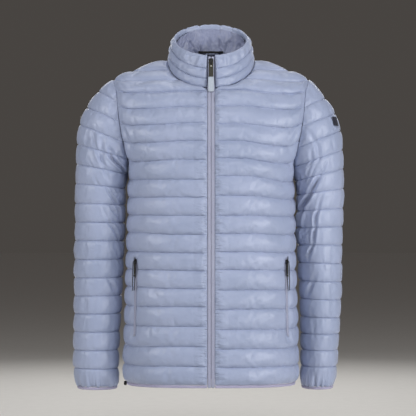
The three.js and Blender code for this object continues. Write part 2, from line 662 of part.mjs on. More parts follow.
// The tape loop that hangs the jacket up, sewn at its two ends to the back of the facing
function neckLoop() {
  const loop = { halfWidth: 28, height: 5, wall: 1.4, droop: 7, stand: 9, up: 0.3, steps: 12 };
  const near = COLLAR.thick + FACING.gap + FACING.wall + FACING.fold + SEAM_GAP;
  const strip = (lift) =>
    [-loop.height / 2, loop.height / 2].map((high) =>
      Array.from({ length: loop.steps + 1 }, (_, i) => {
        const t = (2 * i) / loop.steps - 1;
        const turn = asin((t * loop.halfWidth) / COLLAR.foot.halfWidth);
        const p = collarPoint(turn, loop.up);
        const off = near + loop.stand * (1 - t ** 4) + lift;
        return vec(p.x, p.y - off, p.z + high - loop.droop * (1 - t ** 4));
      }),
    );
  return wall({ outer: strip(0), inner: strip(loop.wall), isInner: [true, true] });
}

// Hem and zip

function hemBinding() {
  const front = bodyRow(HEM_Z, "front", FRONT_COLUMNS).filter((_, c) => !POCKET_COLUMNS.includes(c));
  const back = bodyRow(HEM_Z, "back", BACK_COLUMNS).slice(0, -1).reverse();
  const half = [...front, ...back];
  const line = [...mirror([half])[0], ...half.slice(0, -1).reverse()];
  const row = (drop) => line.map((p) => p.clone().add(vec(0, 0, -drop)));
  const base = [row(SEAM_GAP), row(SEAM_GAP + BINDING.height)];
  const normals = flattenEnds(gridNormals(base, 1).map((r) => r.map((n) => n.setZ(0).normalize())));
  const away = normals[0][Math.floor(line.length / 2)].y > 0 ? 1 : -1;
  return wall({
    outer: offsetGrid(base, normals, () => away * BINDING.proud),
    inner: offsetGrid(base, normals, () => away * (BINDING.proud - BINDING.wall)),
    isInner: [true, true],
  });
}

// Depth and height of the front edge, from the hem up to the collar's rim
function zipLine() {
  const line = [];
  const bottom = HEM_Z - SEAM_GAP - BINDING.height;
  const steps = round((NECK.frontZ - bottom) / TAPE.step);
  for (let i = 0; i < steps; i++) {
    const z = mix(bottom, NECK.frontZ, i / steps);
    line.push(vec(0, lookup(BODY_SECTIONS, "z", z, "frontY"), z));
  }
  for (const up of [0, 0.33, 0.67, 1]) {
    const p = collarPoint(PI - asin(ZIP_HALF / COLLAR.foot.halfWidth), up);
    line.push(vec(0, p.y, p.z));
  }
  return line;
}

function zipTape(side) {
  const line = zipLine();
  const grid = line.map((p) => [TAPE.inner, TAPE.outer].map((x) => vec(x * side, p.y, p.z)));
  const normals = flattenEnds(gridNormals(grid, side));
  return wall({
    outer: offsetGrid(grid, normals, () => -TAPE.sink),
    inner: offsetGrid(grid, normals, () => -TAPE.sink - TAPE.wall),
    isInner: line.map(() => true),
  });
}

// Pocket zips, made from the front panel's own points

const front = frontSurface();

// A point on the pocket's flat strip: across from -1 to 1, raised along the panel's normal
function pocketPoint(z, across, raised) {
  const rows = front.outer.map((row) => row[POCKET_COLUMNS[0]].z);
  let r = 1;
  while (rows[r] < z) r++;
  const t = (z - rows[r - 1]) / (rows[r] - rows[r - 1]);
  const [a, b] = POCKET_COLUMNS;
  const at = (grid, c) => grid[r - 1][c].clone().lerp(grid[r][c], t);
  const [p, q] = [at(front.outer, a), at(front.outer, b)];
  const normal = at(front.normals, a).add(at(front.normals, b)).normalize();
  const middle = p.clone().add(q).multiplyScalar(0.5);
  const sideways = q.clone().sub(p).normalize();
  return middle.addScaledVector(sideways, across).addScaledVector(normal, raised);
}

function pocketTape(side) {
  const steps = 10;
  const heights = Array.from({ length: steps + 1 }, (_, i) => mix(POCKET.bottomZ, POCKET.topZ, i / steps));
  const level = (raised) =>
    heights.map((z) =>
      [-POCKET.halfWidth, POCKET.halfWidth].map((across) => {
        const p = pocketPoint(z, across, raised);
        return vec(p.x * side, p.y, p.z);
      }),
    );
  const low = SEAM_GAP + 0.4;
  return wall({ outer: level(low + POCKET.wall), inner: level(low), isInner: heights.map(() => true) });
}

// Sliders and pulls, in a frame with X across the zip, Y up along it and Z out of the cloth

const wasm = await Module();
wasm.setup();

function extruded(outline, depth, holes = []) {
  const shape = new THREE.Shape(outline.map(([x, y]) => new THREE.Vector2(x, y)));
  for (const hole of holes) shape.holes.push(new THREE.Path(hole.map(([x, y]) => new THREE.Vector2(x, y))));
  return new THREE.ExtrudeGeometry(shape, { depth, bevelEnabled: false });
}

// A rectangle whose corners are cut off
function chamfered(x0, y0, x1, y1, cut) {
  return [[x0 + cut, y0], [x1 - cut, y0], [x1, y0 + cut], [x1, y1 - cut],
    [x1 - cut, y1], [x0 + cut, y1], [x0, y1 - cut], [x0, y0 + cut]];
}

function toManifold(geometry) {
  const key = new Map();
  const xyz = [];
  const position = geometry.getAttribute("position");
  const id = Array.from({ length: position.count }, (_, i) => {
    const p = [position.getX(i), position.getY(i), position.getZ(i)];
    const name = p.map((v) => round(v * 1e4)).join();
    if (!key.has(name)) key.set(name, xyz.push(p) - 1);
    return key.get(name);
  });
  const index = geometry.index ? [...geometry.index.array] : id.map((_, i) => i);
  const triVerts = new Uint32Array(index.map((i) => id[i]));
  return new wasm.Manifold(new wasm.Mesh({ numProp: 3, vertProperties: new Float32Array(xyz.flat()), triVerts }));
}

function joined(...geometries) {
  const whole = geometries.map(toManifold).reduce((a, b) => a.add(b));
  const { vertProperties, triVerts } = whole.getMesh();
  const geometry = new THREE.BufferGeometry();
  geometry.setAttribute("position", new THREE.Float32BufferAttribute([...vertProperties], 3));
  geometry.setIndex([...triVerts]);
  return geometry;
}

// The slider's plate, with the arch that the pull hangs from
function sliderGeometry({ halfWidth, above, below }) {
  const plate = extruded(chamfered(-halfWidth, -below, halfWidth, above, halfWidth * 0.45), ARCH.plate);
  const { reach, window, sill, lintel, top } = ARCH;
  const side = [[-reach, ARCH.plate - 0.3], [reach, ARCH.plate - 0.3], [reach, lintel], [reach - 1, top],
    [1 - reach, top], [-reach, lintel]];
  const hole = [[-window, sill], [window, sill], [window, lintel], [-window, lintel]];
  const arch = extruded(side, 2 * ARCH.halfWidth, [hole]);
  arch.applyMatrix4(new THREE.Matrix4().makeBasis(vec(0, 1, 0), vec(0, 0, 1), vec(1, 0, 0)));
  arch.translate(-ARCH.halfWidth, 0, 0);
  return joined(plate, arch);
}

// A pull: a bar under the arch, an arm on each side of it and a plate below
function pullGeometry({ pullHalf, pullLength }) {
  const { bar, armIn, start } = PULL;
  const outline = chamfered(-pullHalf, -pullLength, pullHalf, bar, bar * 1.2);
  const slot = [[-armIn, -start], [armIn, -start], [armIn, -bar], [-armIn, -bar]];
  return extruded(outline, 2 * bar, [slot]).translate(0, 0, -bar);
}

function slab(x0, y0, x1, y1, thick, cut) {
  return extruded(chamfered(x0, y0, x1, y1, cut), thick).translate(0, 0, -thick / 2);
}

// The frame of a slider: its place, and the direction along the zip and out of the cloth
function zipFrame(origin, along, outward) {
  const up = along.clone().normalize();
  const out = outward.clone().addScaledVector(up, -outward.dot(up)).normalize();
  return new THREE.Matrix4().makeBasis(up.clone().cross(out), up, out).setPosition(origin);
}

function mainZipFrame() {
  const line = zipLine();
  const at = (z) => {
    let i = 1;
    while (line[i].z < z && i < line.length - 1) i++;
    return line[i - 1].clone().lerp(line[i], (z - line[i - 1].z) / (line[i].z - line[i - 1].z));
  };
  const along = at(MAIN_ZIP.sliderZ + 6).sub(at(MAIN_ZIP.sliderZ - 6));
  const outward = vec(0, -1, 0);
  return zipFrame(at(MAIN_ZIP.sliderZ).add(vec(0, -SEAM_GAP, 0)), along, outward);
}

// The pocket zip's frame on the wearer's left (side 1) or right (side -1)
function pocketZipFrame(side) {
  const flip = (v) => vec(v.x * side, v.y, v.z);
  const raised = SEAM_GAP * 2 + 0.4 + POCKET.wall;
  const sliderZ = POCKET.topZ - POCKET.slider.above - 1;
  const origin = pocketPoint(sliderZ, 0, raised);
  const along = pocketPoint(sliderZ + 8, 0, raised).sub(pocketPoint(sliderZ - 16, 0, raised));
  const outward = pocketPoint(sliderZ, 0, raised + 1).sub(origin);
  return zipFrame(flip(origin), flip(along), flip(outward));
}

// A cord along chosen points of a zip's frame, as a closed tube
function cordGeometry(points, radius) {
  const curve = new THREE.CatmullRomCurve3(points.map(([x, y, z]) => vec(x, y, z)));
  const section = Array.from({ length: 8 }, (_, i) => [radius * cos((i * PI) / 4), radius * sin((i * PI) / 4)]);
  const shape = new THREE.Shape(section.map(([x, y]) => new THREE.Vector2(x, y)));
  return new THREE.ExtrudeGeometry(shape, { steps: 12, bevelEnabled: false, extrudePath: curve });
}

// The patch on the left sleeve lies on one facet of the sleeve's outer side
function patchGeometry(sleeve) {
  const { row, column, inset, raised, thick } = PATCH;
  const corner = (r, c) => sleeve.outer[row + r][column + c];
  const at = (u, v) => corner(0, 0).clone().lerp(corner(0, 1), u).lerp(corner(1, 0).clone().lerp(corner(1, 1), u), v);
  const across = corner(0, 1).clone().sub(corner(0, 0));
  const up = corner(1, 0).clone().sub(corner(0, 0));
  const normal = across.cross(up).normalize();
  if (normal.x < 0) normal.negate();
  const level = (lift) =>
    [inset, 1 - inset].map((v) => [inset, 1 - inset].map((u) => at(u, v).addScaledVector(normal, lift)));
  return wall({ outer: level(raised + thick), inner: level(raised), isInner: [true, true] });
}

// The hem cord's lock, beside the binding at the right side seam
function cordLock() {
  const edge = bodyRow(HEM_Z, "front", [1])[0];
  const { width, height, depth, gap } = HEM_LOCK;
  const lock = extruded(chamfered(0, 0, width, height, 1.6), depth);
  lock.rotateX(PI / 2);
  return lock.translate(-edge.x - gap - width, SIDE_Y + depth / 2, edge.z - height - SEAM_GAP);
}

// Assembly

const LOOKS = {
  shell: { color: 0x9fa9c3, roughness: 0.42, metalness: 0 },
  facing: { color: 0x8e98b2, roughness: 0.55, metalness: 0 },
  binding: { color: 0xa9a6c2, roughness: 0.7, metalness: 0 },
  tape: { color: 0x9c9bb4, roughness: 0.75, metalness: 0 },
  black: { color: 0x101012, roughness: 0.4, metalness: 0 },
  gunmetal: { color: 0x4b4b43, roughness: 0.35, metalness: 0.8 },
  tab: { color: 0xaab2bf, roughness: 0.5, metalness: 0 },
  cord: { color: 0x16161a, roughness: 0.8, metalness: 0 },
  patch: { color: 0x14162a, roughness: 0.6, metalness: 0 },
};

const jacket = new THREE.Group();

function add(name, geometry, look, frame) {
  const mesh = new THREE.Mesh(geometry, new THREE.MeshStandardMaterial(LOOKS[look]));
  mesh.name = name;
  if (frame) mesh.applyMatrix4(frame);
  jacket.add(mesh);
}

function addPull(name, frame, sizes) {
  add(`${name}_slider`, sliderGeometry(sizes), "black", frame);
  const hinge = frame.clone().multiply(new THREE.Matrix4().makeTranslation(0, 0, ARCH.axis));
  add(`${name}_pull`, pullGeometry(sizes), "gunmetal", hinge);
  return hinge;
}

const SIDES = [["left", 1], ["right", -1]];
const sleeves = {};

add("back", wall(backSurface()), "shell");
for (const [name, side] of SIDES) {
  const turned = (grid) => (side > 0 ? grid : mirror(grid));
  add(`front_${name}`, wall({ ...front, outer: turned(front.outer), inner: turned(front.inner) }), "shell");
  sleeves[name] = sleeveSurface(name);
  add(`sleeve_${name}`, wall(sleeves[name]), "shell");
  add(`cuff_binding_${name}`, cuffBinding(sleeves[name].cuff), "binding");
  add(`zip_tape_${name}`, zipTape(side), "tape");
  add(`pocket_zip_${name}`, pocketTape(side), "tape");
  const frame = pocketZipFrame(side);
  addPull(`pocket_${name}`, frame, POCKET.slider);
  POCKET_CORDS.forEach((points, i) => {
    add(`pocket_cord_${name}_${i + 1}`, cordGeometry(points, CORD_RADIUS), "cord", frame);
  });
}
add("collar", collarSolid(), "shell");
add("collar_facing", facingSolid(), "facing");
add("neck_loop", neckLoop(), "cord");
add("hem_binding", hemBinding(), "binding");
add("hem_cord_lock", cordLock(), "black");
add("sleeve_patch", patchGeometry(sleeves.left), "patch");
const mainHinge = addPull("zip", mainZipFrame(), MAIN_ZIP.slider);
const { halfWidth, length, thick } = MAIN_ZIP.tab;
const tabTop = -MAIN_ZIP.slider.pullLength - SEAM_GAP;
add("zip_pull_tab", slab(-halfWidth, tabTop - length, halfWidth, tabTop, thick, 1.5), "tab", mainHinge);

export default jacket;
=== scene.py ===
"""The looks of a light puffer jacket in its worn shape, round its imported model.

Metres, +Z up, the front faces -Y and the wearer's left is +X. The quilted panels follow the same
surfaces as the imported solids, from the same driving sizes, and are blown up as cloth between
their seams. The sizes below are in millimetres.
"""

import json
import math

import bmesh
import bpy
import numpy as np
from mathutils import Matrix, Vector

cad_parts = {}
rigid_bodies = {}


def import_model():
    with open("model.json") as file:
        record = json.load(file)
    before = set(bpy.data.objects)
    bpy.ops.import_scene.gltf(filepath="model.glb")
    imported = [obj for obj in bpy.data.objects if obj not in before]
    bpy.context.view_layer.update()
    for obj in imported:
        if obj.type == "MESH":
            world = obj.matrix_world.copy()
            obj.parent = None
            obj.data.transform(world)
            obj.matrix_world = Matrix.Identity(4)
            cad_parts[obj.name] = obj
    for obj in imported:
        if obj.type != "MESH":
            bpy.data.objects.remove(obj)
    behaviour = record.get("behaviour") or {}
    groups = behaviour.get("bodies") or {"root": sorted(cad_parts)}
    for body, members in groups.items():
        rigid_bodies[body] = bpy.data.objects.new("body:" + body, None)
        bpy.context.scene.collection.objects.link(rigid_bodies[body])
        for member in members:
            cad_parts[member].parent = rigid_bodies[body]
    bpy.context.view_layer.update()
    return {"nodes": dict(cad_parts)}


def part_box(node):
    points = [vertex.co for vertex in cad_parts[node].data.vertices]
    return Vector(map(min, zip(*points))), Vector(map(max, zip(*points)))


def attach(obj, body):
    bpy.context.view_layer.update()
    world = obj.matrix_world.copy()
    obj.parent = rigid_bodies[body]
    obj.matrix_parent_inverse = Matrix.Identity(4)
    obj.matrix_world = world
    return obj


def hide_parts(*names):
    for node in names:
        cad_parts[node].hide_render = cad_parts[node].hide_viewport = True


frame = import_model()
MM = 0.001

# Camera and light

VIEW = {"x": -6.4, "z": -316, "distance": 3500, "frame_width": 888, "sensor": 36}
LIGHTS = {
    # name: (place in metres, target in metres, width and height in metres, power)
    "key": ((0.1, -2.3, 1.9), (0, 0, -0.3), (0.9, 0.6), 24),
    "side_right": ((2.1, -1.6, 0.3), (0.1, 0, -0.45), (0.6, 1.1), 31),
    "side_left": ((-2.2, -1.55, 0.7), (-0.1, 0, -0.35), (0.6, 1.1), 31),
    "low": ((1.7, -2.4, -0.5), (0.1, 0, -0.6), (0.7, 0.5), 18),
    "top": ((0, 0.5, 1.7), (0, 0, -0.2), (0.9, 0.7), 9),
    "back_left": ((-0.6, 2.3, 0.6), (0, 0, -0.3), (0.9, 1.1), 11),
    "back_right": ((0.6, 2.3, 0.6), (0, 0, -0.3), (0.9, 1.1), 11),
}
WORLD = {"colour": (1.0, 0.9, 0.82, 1), "strength": 0.065}


def make_camera():
    data = bpy.data.cameras.new("camera")
    data.sensor_width = VIEW["sensor"]
    data.lens = VIEW["sensor"] * VIEW["distance"] / VIEW["frame_width"]
    camera = bpy.data.objects.new("camera", data)
    camera.location = (VIEW["x"] * MM, -VIEW["distance"] * MM, VIEW["z"] * MM)
    camera.rotation_euler = (math.radians(90), 0, 0)
    bpy.context.scene.collection.objects.link(camera)
    bpy.context.scene.camera = camera


def make_lights():
    for name, (place, target, size, power) in LIGHTS.items():
        data = bpy.data.lights.new(name, "AREA")
        data.shape = "RECTANGLE"
        data.size, data.size_y = size
        data.energy = power
        light = bpy.data.objects.new(name, data)
        light.location = place
        light.rotation_euler = (Vector(target) - Vector(place)).to_track_quat("-Z", "Y").to_euler()
        bpy.context.scene.collection.objects.link(light)
    world = bpy.data.worlds.new("studio")
    world.use_nodes = True
    background = world.node_tree.nodes["Background"]
    background.inputs["Color"].default_value = WORLD["colour"]
    background.inputs["Strength"].default_value = WORLD["strength"]
    bpy.context.scene.world = world
    bpy.context.scene.view_settings.view_transform = "Standard"


make_camera()
make_lights()

# Materials


def srgb(r, g, b):
    """A colour of 0 to 255 on the screen as linear values."""
    linear = [v / 255 / 12.92 if v <= 10 else ((v / 255 + 0.055) / 1.055) ** 2.4 for v in (r, g, b)]
    return (*linear, 1.0)


class Look:
    """A material and its nodes."""

    def __init__(self, name, colour, roughness, sheen=0.0, metallic=0.0):
        self.material = bpy.data.materials.new(name)
        self.material.use_nodes = True
        self.tree = self.material.node_tree
        self.shader = self.tree.nodes["Principled BSDF"]
        self.set(self.shader, {"Base Color": colour, "Roughness": roughness, "Metallic": metallic})
        if sheen:
            self.set(self.shader, {"Sheen Weight": sheen, "Sheen Roughness": 0.4})
        self.place = self.node("ShaderNodeTexCoord")

    def set(self, node, values):
        for key, value in values.items():
            node.inputs[key].default_value = value

    def node(self, kind, values=None):
        made = self.tree.nodes.new(kind)
        self.set(made, values or {})
        return made

    def link(self, source, output, target, socket):
        self.tree.links.new(source.outputs[output], target.inputs[socket])

    def noise(self, scale, detail=4.0, stretch=None):
        """Noise at a scale in cells a metre, on the piece's own coordinates."""
        noise = self.node("ShaderNodeTexNoise", {"Scale": scale, "Detail": detail, "Roughness": 0.6})
        if stretch:
            mapping = self.node("ShaderNodeMapping", {"Scale": stretch})
            self.link(self.place, "Object", mapping, "Vector")
            self.link(mapping, "Vector", noise, "Vector")
        else:
            self.link(self.place, "Object", noise, "Vector")
        return noise

    def maths(self, operation, *terms):
        """A maths node over terms, each a number or (source, output)."""
        made = self.node("ShaderNodeMath")
        made.operation = operation
        for socket, term in enumerate(terms):
            if isinstance(term, tuple):
                self.link(*term, made, socket)
            else:
                made.inputs[socket].default_value = term
        return made

    def colours(self, source, output, low, high, dark, light):
        """Colour that turns from dark to light as the source goes from low to high."""
        ramp = self.node("ShaderNodeValToRGB")
        ends = ramp.color_ramp.elements
        ends[0].position, ends[0].color = low, dark
        ends[1].position, ends[1].color = high, light
        self.link(source, output, ramp, "Fac")
        self.link(ramp, "Color", self.shader, "Base Color")

    def gloss(self, source, output, least, most):
        """Roughness that follows the source."""
        spread = self.node("ShaderNodeMapRange", {"To Min": least, "To Max": most})
        self.link(source, output, spread, "Value")
        self.link(spread, "Result", self.shader, "Roughness")

    def bumps(self, *layers):
        """Bump from layers of (source, output, strength, height in metres), coarse first."""
        before = None
        for source, output, strength, height in layers:
            bump = self.node("ShaderNodeBump", {"Strength": strength, "Distance": height})
            self.link(source, output, bump, "Height")
            if before:
                self.link(before, "Normal", bump, "Normal")
            before = bump
        self.link(before, "Normal", self.shader, "Normal")

    def creases(self, scale):
        """A surface of soft planes that meet in sharp valleys, as crumpled nylon has."""
        away = self.maths("SUBTRACT", (self.noise(scale, 2.0), "Fac"), 0.5)
        return self.maths("ABSOLUTE", (away, "Value"))

    def beside_middle(self, near, far, cells):
        """Short folds that fade out from near to far on both sides of the middle line."""
        split = self.node("ShaderNodeSeparateXYZ")
        self.link(self.place, "Object", split, "Vector")
        away = self.maths("ABSOLUTE", (split, "X"))
        limits = {"From Min": near, "From Max": far, "To Min": 1, "To Max": 0}
        fade = self.node("ShaderNodeMapRange", limits)
        self.link(away, "Value", fade, "Value")
        return self.maths("MULTIPLY", (self.noise(1.0, 2.0, cells), "Fac"), (fade, "Result"))

    def threads(self, pitch):
        """A plain weave's height, with threads along X and Z, from two crossed waves."""
        waves = []
        for direction in "XZ":
            wave = self.node("ShaderNodeTexWave", {"Scale": 0.05 / pitch, "Distortion": 0.6})
            wave.bands_direction = direction
            self.link(self.place, "Object", wave, "Vector")
            waves.append((wave, "Fac"))
        return self.maths("MULTIPLY", *waves)


ZIP_PUCKERS = {"near": 0.012, "far": 0.036, "cells": (45, 20, 150)}
ZIP_PUCKER_BUMP = (0.9, 0.007)  # strength, height in metres
WEAVE = {"patches": 11.0, "gloss": 45.0, "less_gloss": 0.07, "more_gloss": 0.09, "stretch": (1, 1, 1.7)}


def woven(name, colour, shade, roughness, sheen, pitch, crumple, zip_puckers=False):
    """Woven cloth: soft patches of two close shades, small crumples and its threads."""
    look = Look(name, colour, roughness, sheen)
    look.colours(look.noise(WEAVE["patches"]), "Fac", 0.32, 0.68, shade, colour)
    gloss = look.noise(WEAVE["gloss"])
    look.gloss(gloss, "Fac", roughness - WEAVE["less_gloss"], roughness + WEAVE["more_gloss"])
    scale, strength = crumple
    fine = look.noise(scale * 3.2, 5.0, WEAVE["stretch"])
    layers = [
        (look.noise(scale, 3.0), "Fac", strength, 0.006),
        (look.creases(scale * 1.3), "Value", strength * 0.9, 0.008),
        (fine, "Fac", strength * 0.7, 0.002),
        (look.threads(pitch), "Value", 0.12, pitch * 0.3),
    ]
    if zip_puckers:
        layers.insert(0, (look.beside_middle(**ZIP_PUCKERS), "Value", *ZIP_PUCKER_BUMP))
    look.bumps(*layers)
    return look.material


def hard(name, colour, other, roughness, metallic, grain):
    """Coated metal or plastic with fine wear in its colour, gloss and surface."""
    look = Look(name, colour, roughness, 0.0, metallic)
    wear = look.noise(grain, 6.0)
    look.colours(wear, "Fac", 0.35, 0.7, colour, other)
    look.gloss(wear, "Fac", roughness - 0.08, roughness + 0.12)
    look.bumps((wear, "Fac", 0.15, 0.0003))
    return look.material


NYLON = (srgb(160, 170, 198), srgb(149, 160, 188), 0.41, 0.22, 0.0004, (34, 0.22))
SHELL = woven("shell_nylon", *NYLON)
FRONT_SHELL = woven("front_shell_nylon", *NYLON, zip_puckers=True)
LINING = woven("lining_nylon", srgb(140, 148, 174), srgb(130, 138, 164), 0.5, 0.2, 0.0004, (50, 0.3))
FACING = woven("facing_nylon", srgb(142, 149, 178), srgb(124, 131, 161), 0.42, 0.2, 0.0004, (45, 0.35))
BINDING = woven("binding_elastic", srgb(174, 170, 196), srgb(160, 157, 186), 0.7, 0.3, 0.0009, (120, 0.3))
TAPE = woven("zip_tape", srgb(160, 164, 185), srgb(150, 153, 176), 0.6, 0.2, 0.0007, (150, 0.2))
THREAD = woven("sewing_thread", srgb(116, 124, 154), srgb(100, 108, 138), 0.55, 0.2, 0.0003, (400, 0.3))
TEETH = woven("zip_coil", srgb(142, 145, 169), srgb(130, 133, 158), 0.4, 0.1, 0.0003, (300, 0.2))
BLACK_CLOTH = woven("black_tape", srgb(26, 26, 30), srgb(17, 17, 21), 0.75, 0.3, 0.0006, (200, 0.4))
PATCH_CLOTH = woven("patch_weave", srgb(28, 31, 52), srgb(20, 22, 42), 0.65, 0.2, 0.0006, (200, 0.3))
PALE_THREAD = woven("pale_thread", srgb(200, 203, 214), srgb(182, 186, 200), 0.6, 0.2, 0.0003, (300, 0.3))
BLACK_COAT = hard("black_coat", srgb(14, 14, 15), srgb(24, 24, 26), 0.5, 0.0, 400)
GUNMETAL = hard("gunmetal", srgb(62, 62, 56), srgb(86, 85, 77), 0.42, 0.7, 500)
PALE_RUBBER = hard("pale_rubber", srgb(166, 176, 190), srgb(178, 186, 198), 0.5, 0.0, 350)
BRIGHT_METAL = hard("bright_metal", srgb(196, 196, 190), srgb(214, 212, 204), 0.28, 0.9, 500)

# Small maths


def clamp01(t):
    return np.clip(t, 0.0, 1.0)


def smooth(t):
    t = clamp01(t)
    return t * t * (3 - 2 * t)


def mix(a, b, t):
    return a + (b - a) * t


def table(columns, rows):
    """A short table as a dict of its columns."""
    return {name: np.array([row[i] for row in rows], float) for i, name in enumerate(columns.split())}


def lookup(rows, key, at, column):
    """One column of a table at a value of its key, on a smooth curve through the rows."""
    xs, ys = rows[key], rows[column]
    last = len(xs) - 1
    i = int(np.clip(np.searchsorted(xs, at) - 1, 0, last - 1))

    def slope(j):
        a, b = max(j - 1, 0), min(j + 1, last)
        return (ys[b] - ys[a]) / (xs[b] - xs[a])

    h = xs[i + 1] - xs[i]
    t = float(clamp01((at - xs[i]) / h))
    start = ys[i] * (2 * t**3 - 3 * t**2 + 1)
    end = ys[i + 1] * (3 * t**2 - 2 * t**3)
    return start + end + h * (slope(i) * (t**3 - 2 * t**2 + t) + slope(i + 1) * (t**3 - t**2))


def wander(x, size, seed):
    """Smooth random values from -1 to 1 along a line, with a bump about every size."""
    values = np.random.RandomState(seed).uniform(-1, 1, 997)
    at = np.asarray(x, float) / size + 300
    low = np.floor(at).astype(int)
    return mix(values[low % 997], values[(low + 1) % 997], smooth(at - low))


def field(x, y, sizes, seed):
    """Smooth random values from -1 to 1 over a surface."""
    values = np.random.RandomState(seed).uniform(-1, 1, (97, 89))
    u, v = np.asarray(x, float) / sizes[0] + 40, np.asarray(y, float) / sizes[1] + 40
    i, j = np.floor(u).astype(int), np.floor(v).astype(int)
    s, t = smooth(u - i), smooth(v - j)
    low = mix(values[i % 97, j % 89], values[(i + 1) % 97, j % 89], s)
    high = mix(values[i % 97, (j + 1) % 89], values[(i + 1) % 97, (j + 1) % 89], s)
    return mix(low, high, t)


def uneven(kind, x, y, seed):
    """How much fuller or flatter than usual a panel's channels are over its surface."""
    share, sizes = UNEVEN[kind]
    return share * field(x, y, sizes, seed)


def fold_line(off):
    """A fold across its line: a sharp valley between two low ridges. Off is in fold widths."""
    return -np.exp(-(off**2)) + 0.45 * np.exp(-(((np.abs(off) - 1.7) / 0.8) ** 2))


def unit(v):
    return v / np.maximum(np.linalg.norm(v, axis=-1, keepdims=True), 1e-9)


def run_of(points):
    """Distance along each row of a grid, or along a line."""
    steps = np.linalg.norm(np.diff(points, axis=-2), axis=-1)
    start = np.zeros((*steps.shape[:-1], 1))
    return np.concatenate([start, np.cumsum(steps, axis=-1)], axis=-1)


def points_at(at, run, points):
    """Points, or directions, at distances along a line."""
    return np.stack([np.interp(at, run, points[:, k]) for k in range(3)], 1)


def same(direction, count):
    """One direction many times."""
    return np.tile(np.array(direction, float), (count, 1))


def ends_apart(shares, reach):
    """From 0 at both ends of a row, whose shares go up to 1 or from -1 to 1, to 1 away from them."""
    start = 1 if shares[0] < 0 else smooth(shares / reach)
    return start * smooth((1 - np.abs(shares)) / reach)


# Meshes


def dress(piece, body, replaces):
    """Puts a piece in the scene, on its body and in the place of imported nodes."""
    bpy.context.scene.collection.objects.link(piece)
    if body:
        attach(piece, body)
    if replaces:
        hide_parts(*replaces)
    return piece


def link_mesh(name, points, faces, materials, body="jacket", slot=None, replaces=()):
    """A smooth mesh piece from points in millimetres, dressed and riding on its body."""
    mesh = bpy.data.meshes.new(name)
    mesh.from_pydata((np.asarray(points, float).reshape(-1, 3) * MM).tolist(), [], faces)
    mesh.update()
    for polygon in mesh.polygons:
        polygon.use_smooth = True
    for material in materials:
        mesh.materials.append(material)
    return dress(bpy.data.objects.new(name, mesh), body, replaces)


def subdivide(piece):
    rounding = piece.modifiers.new("rounding", "SUBSURF")
    rounding.levels = rounding.render_levels = 1


CLOTH_THICKNESS = {"facing": 0.0008, "patch": 0.0011}  # in metres


def thicken(piece, metres):
    thickness = piece.modifiers.new("thickness", "SOLIDIFY")
    thickness.thickness = metres
    thickness.offset = 0


def tube(name, rings, materials, closed=False, **place):
    """A mesh through rings of points, its ends capped unless it closes on itself."""
    rings = np.asarray(rings, float)
    count, loop = rings.shape[:2]
    ids = np.arange(count * loop).reshape(count, loop)
    low, high = (ids, np.roll(ids, -1, 0)) if closed else (ids[:-1], ids[1:])
    quads = np.stack([low, np.roll(low, -1, 1), np.roll(high, -1, 1), high], -1).reshape(-1, 4).tolist()
    caps = [] if closed else [ids[0][::-1].tolist(), ids[-1].tolist()]
    return link_mesh(name, rings, quads + caps, materials, **place)


# Sections of a ribbon: across from -1 to 1, and up from its lower to its upper face
RIBBON = [
    (-1, 0.4), (-0.93, 0.85), (-0.5, 1), (0, 1.06), (0.5, 1), (0.93, 0.85), (1, 0.4),
    (0.9, 0), (0, 0), (-0.9, 0),
]
FOLDED = [
    (1, 0.64), (1, 0.98), (0, 1.05), (-0.8, 1), (-1, 0.5), (-0.8, 0), (0, -0.05), (1, 0.02),
    (1, 0.36), (0, 0.33), (-0.75, 0.36), (-0.85, 0.5), (-0.75, 0.64), (0, 0.67),
]


def ribbon_rings(points, across, out, half_width, low, high, section=RIBBON):
    """Rings of a ribbon with rounded edges, from low to high along its outward direction."""
    rings = []
    for u, h in section:
        reach = u * np.broadcast_to(half_width, low.shape)
        rings.append(points + across * reach[:, None] + out * (low + (high - low) * h)[:, None])
    return np.stack(rings, 1)


LUMP_FACES = [(0, 2, 4), (0, 4, 3), (0, 3, 5), (0, 5, 2), (1, 4, 2), (1, 3, 4), (1, 5, 3), (1, 2, 5)]


def ribbon(name, rings, material, slot, node, flat, held, closed=False, **more):
    """A ribbon of cloth with rounded edges. Its flat size in metres is not used."""
    piece = tube(name, rings, [material], closed=closed, slot=slot, replaces=[node])
    subdivide(piece)


def lumps(name, centres, along, out, size, materials, **place):
    """Many small pointed lumps in one mesh, such as stitches. Size is length, width and height."""
    length, width, height = size
    side = unit(np.cross(along, out))
    corners = [
        centres - along * length / 2 - out * height * 0.4,
        centres + along * length / 2 - out * height * 0.4,
        centres + side * width / 2,
        centres - side * width / 2,
        centres + out * height,
        centres - out * height,
    ]
    points = np.stack(corners, 1).reshape(-1, 3)
    faces = (np.array(LUMP_FACES) + 6 * np.arange(len(centres))[:, None, None]).reshape(-1, 3)
    return link_mesh(name, points, faces.tolist(), materials, **place)


# Pitch, then length, width and height of a stitch
QUILTING_STITCH = (3.6, (2.5, 0.6, 0.34))
BINDING_STITCH = (3.2, (2.2, 0.5, 0.3))
TAPE_STITCH = (3.2, (2.3, 0.45, 0.25))
POCKET_STITCH = (3.2, (2.2, 0.45, 0.3))
POCKET_TACK = (1.5, (1.7, 0.5, 0.3))
LOOP_TACK = (1.6, (1.5, 0.5, 0.35))
STITCH_LIFT = 0.1
STITCH_AHEAD = 0.6


def tack(centre, across, out, half_width):
    """One short line of a bar tack, as points and outward directions."""
    return centre + np.outer([-half_width, 0, half_width], across), same(out, 3)


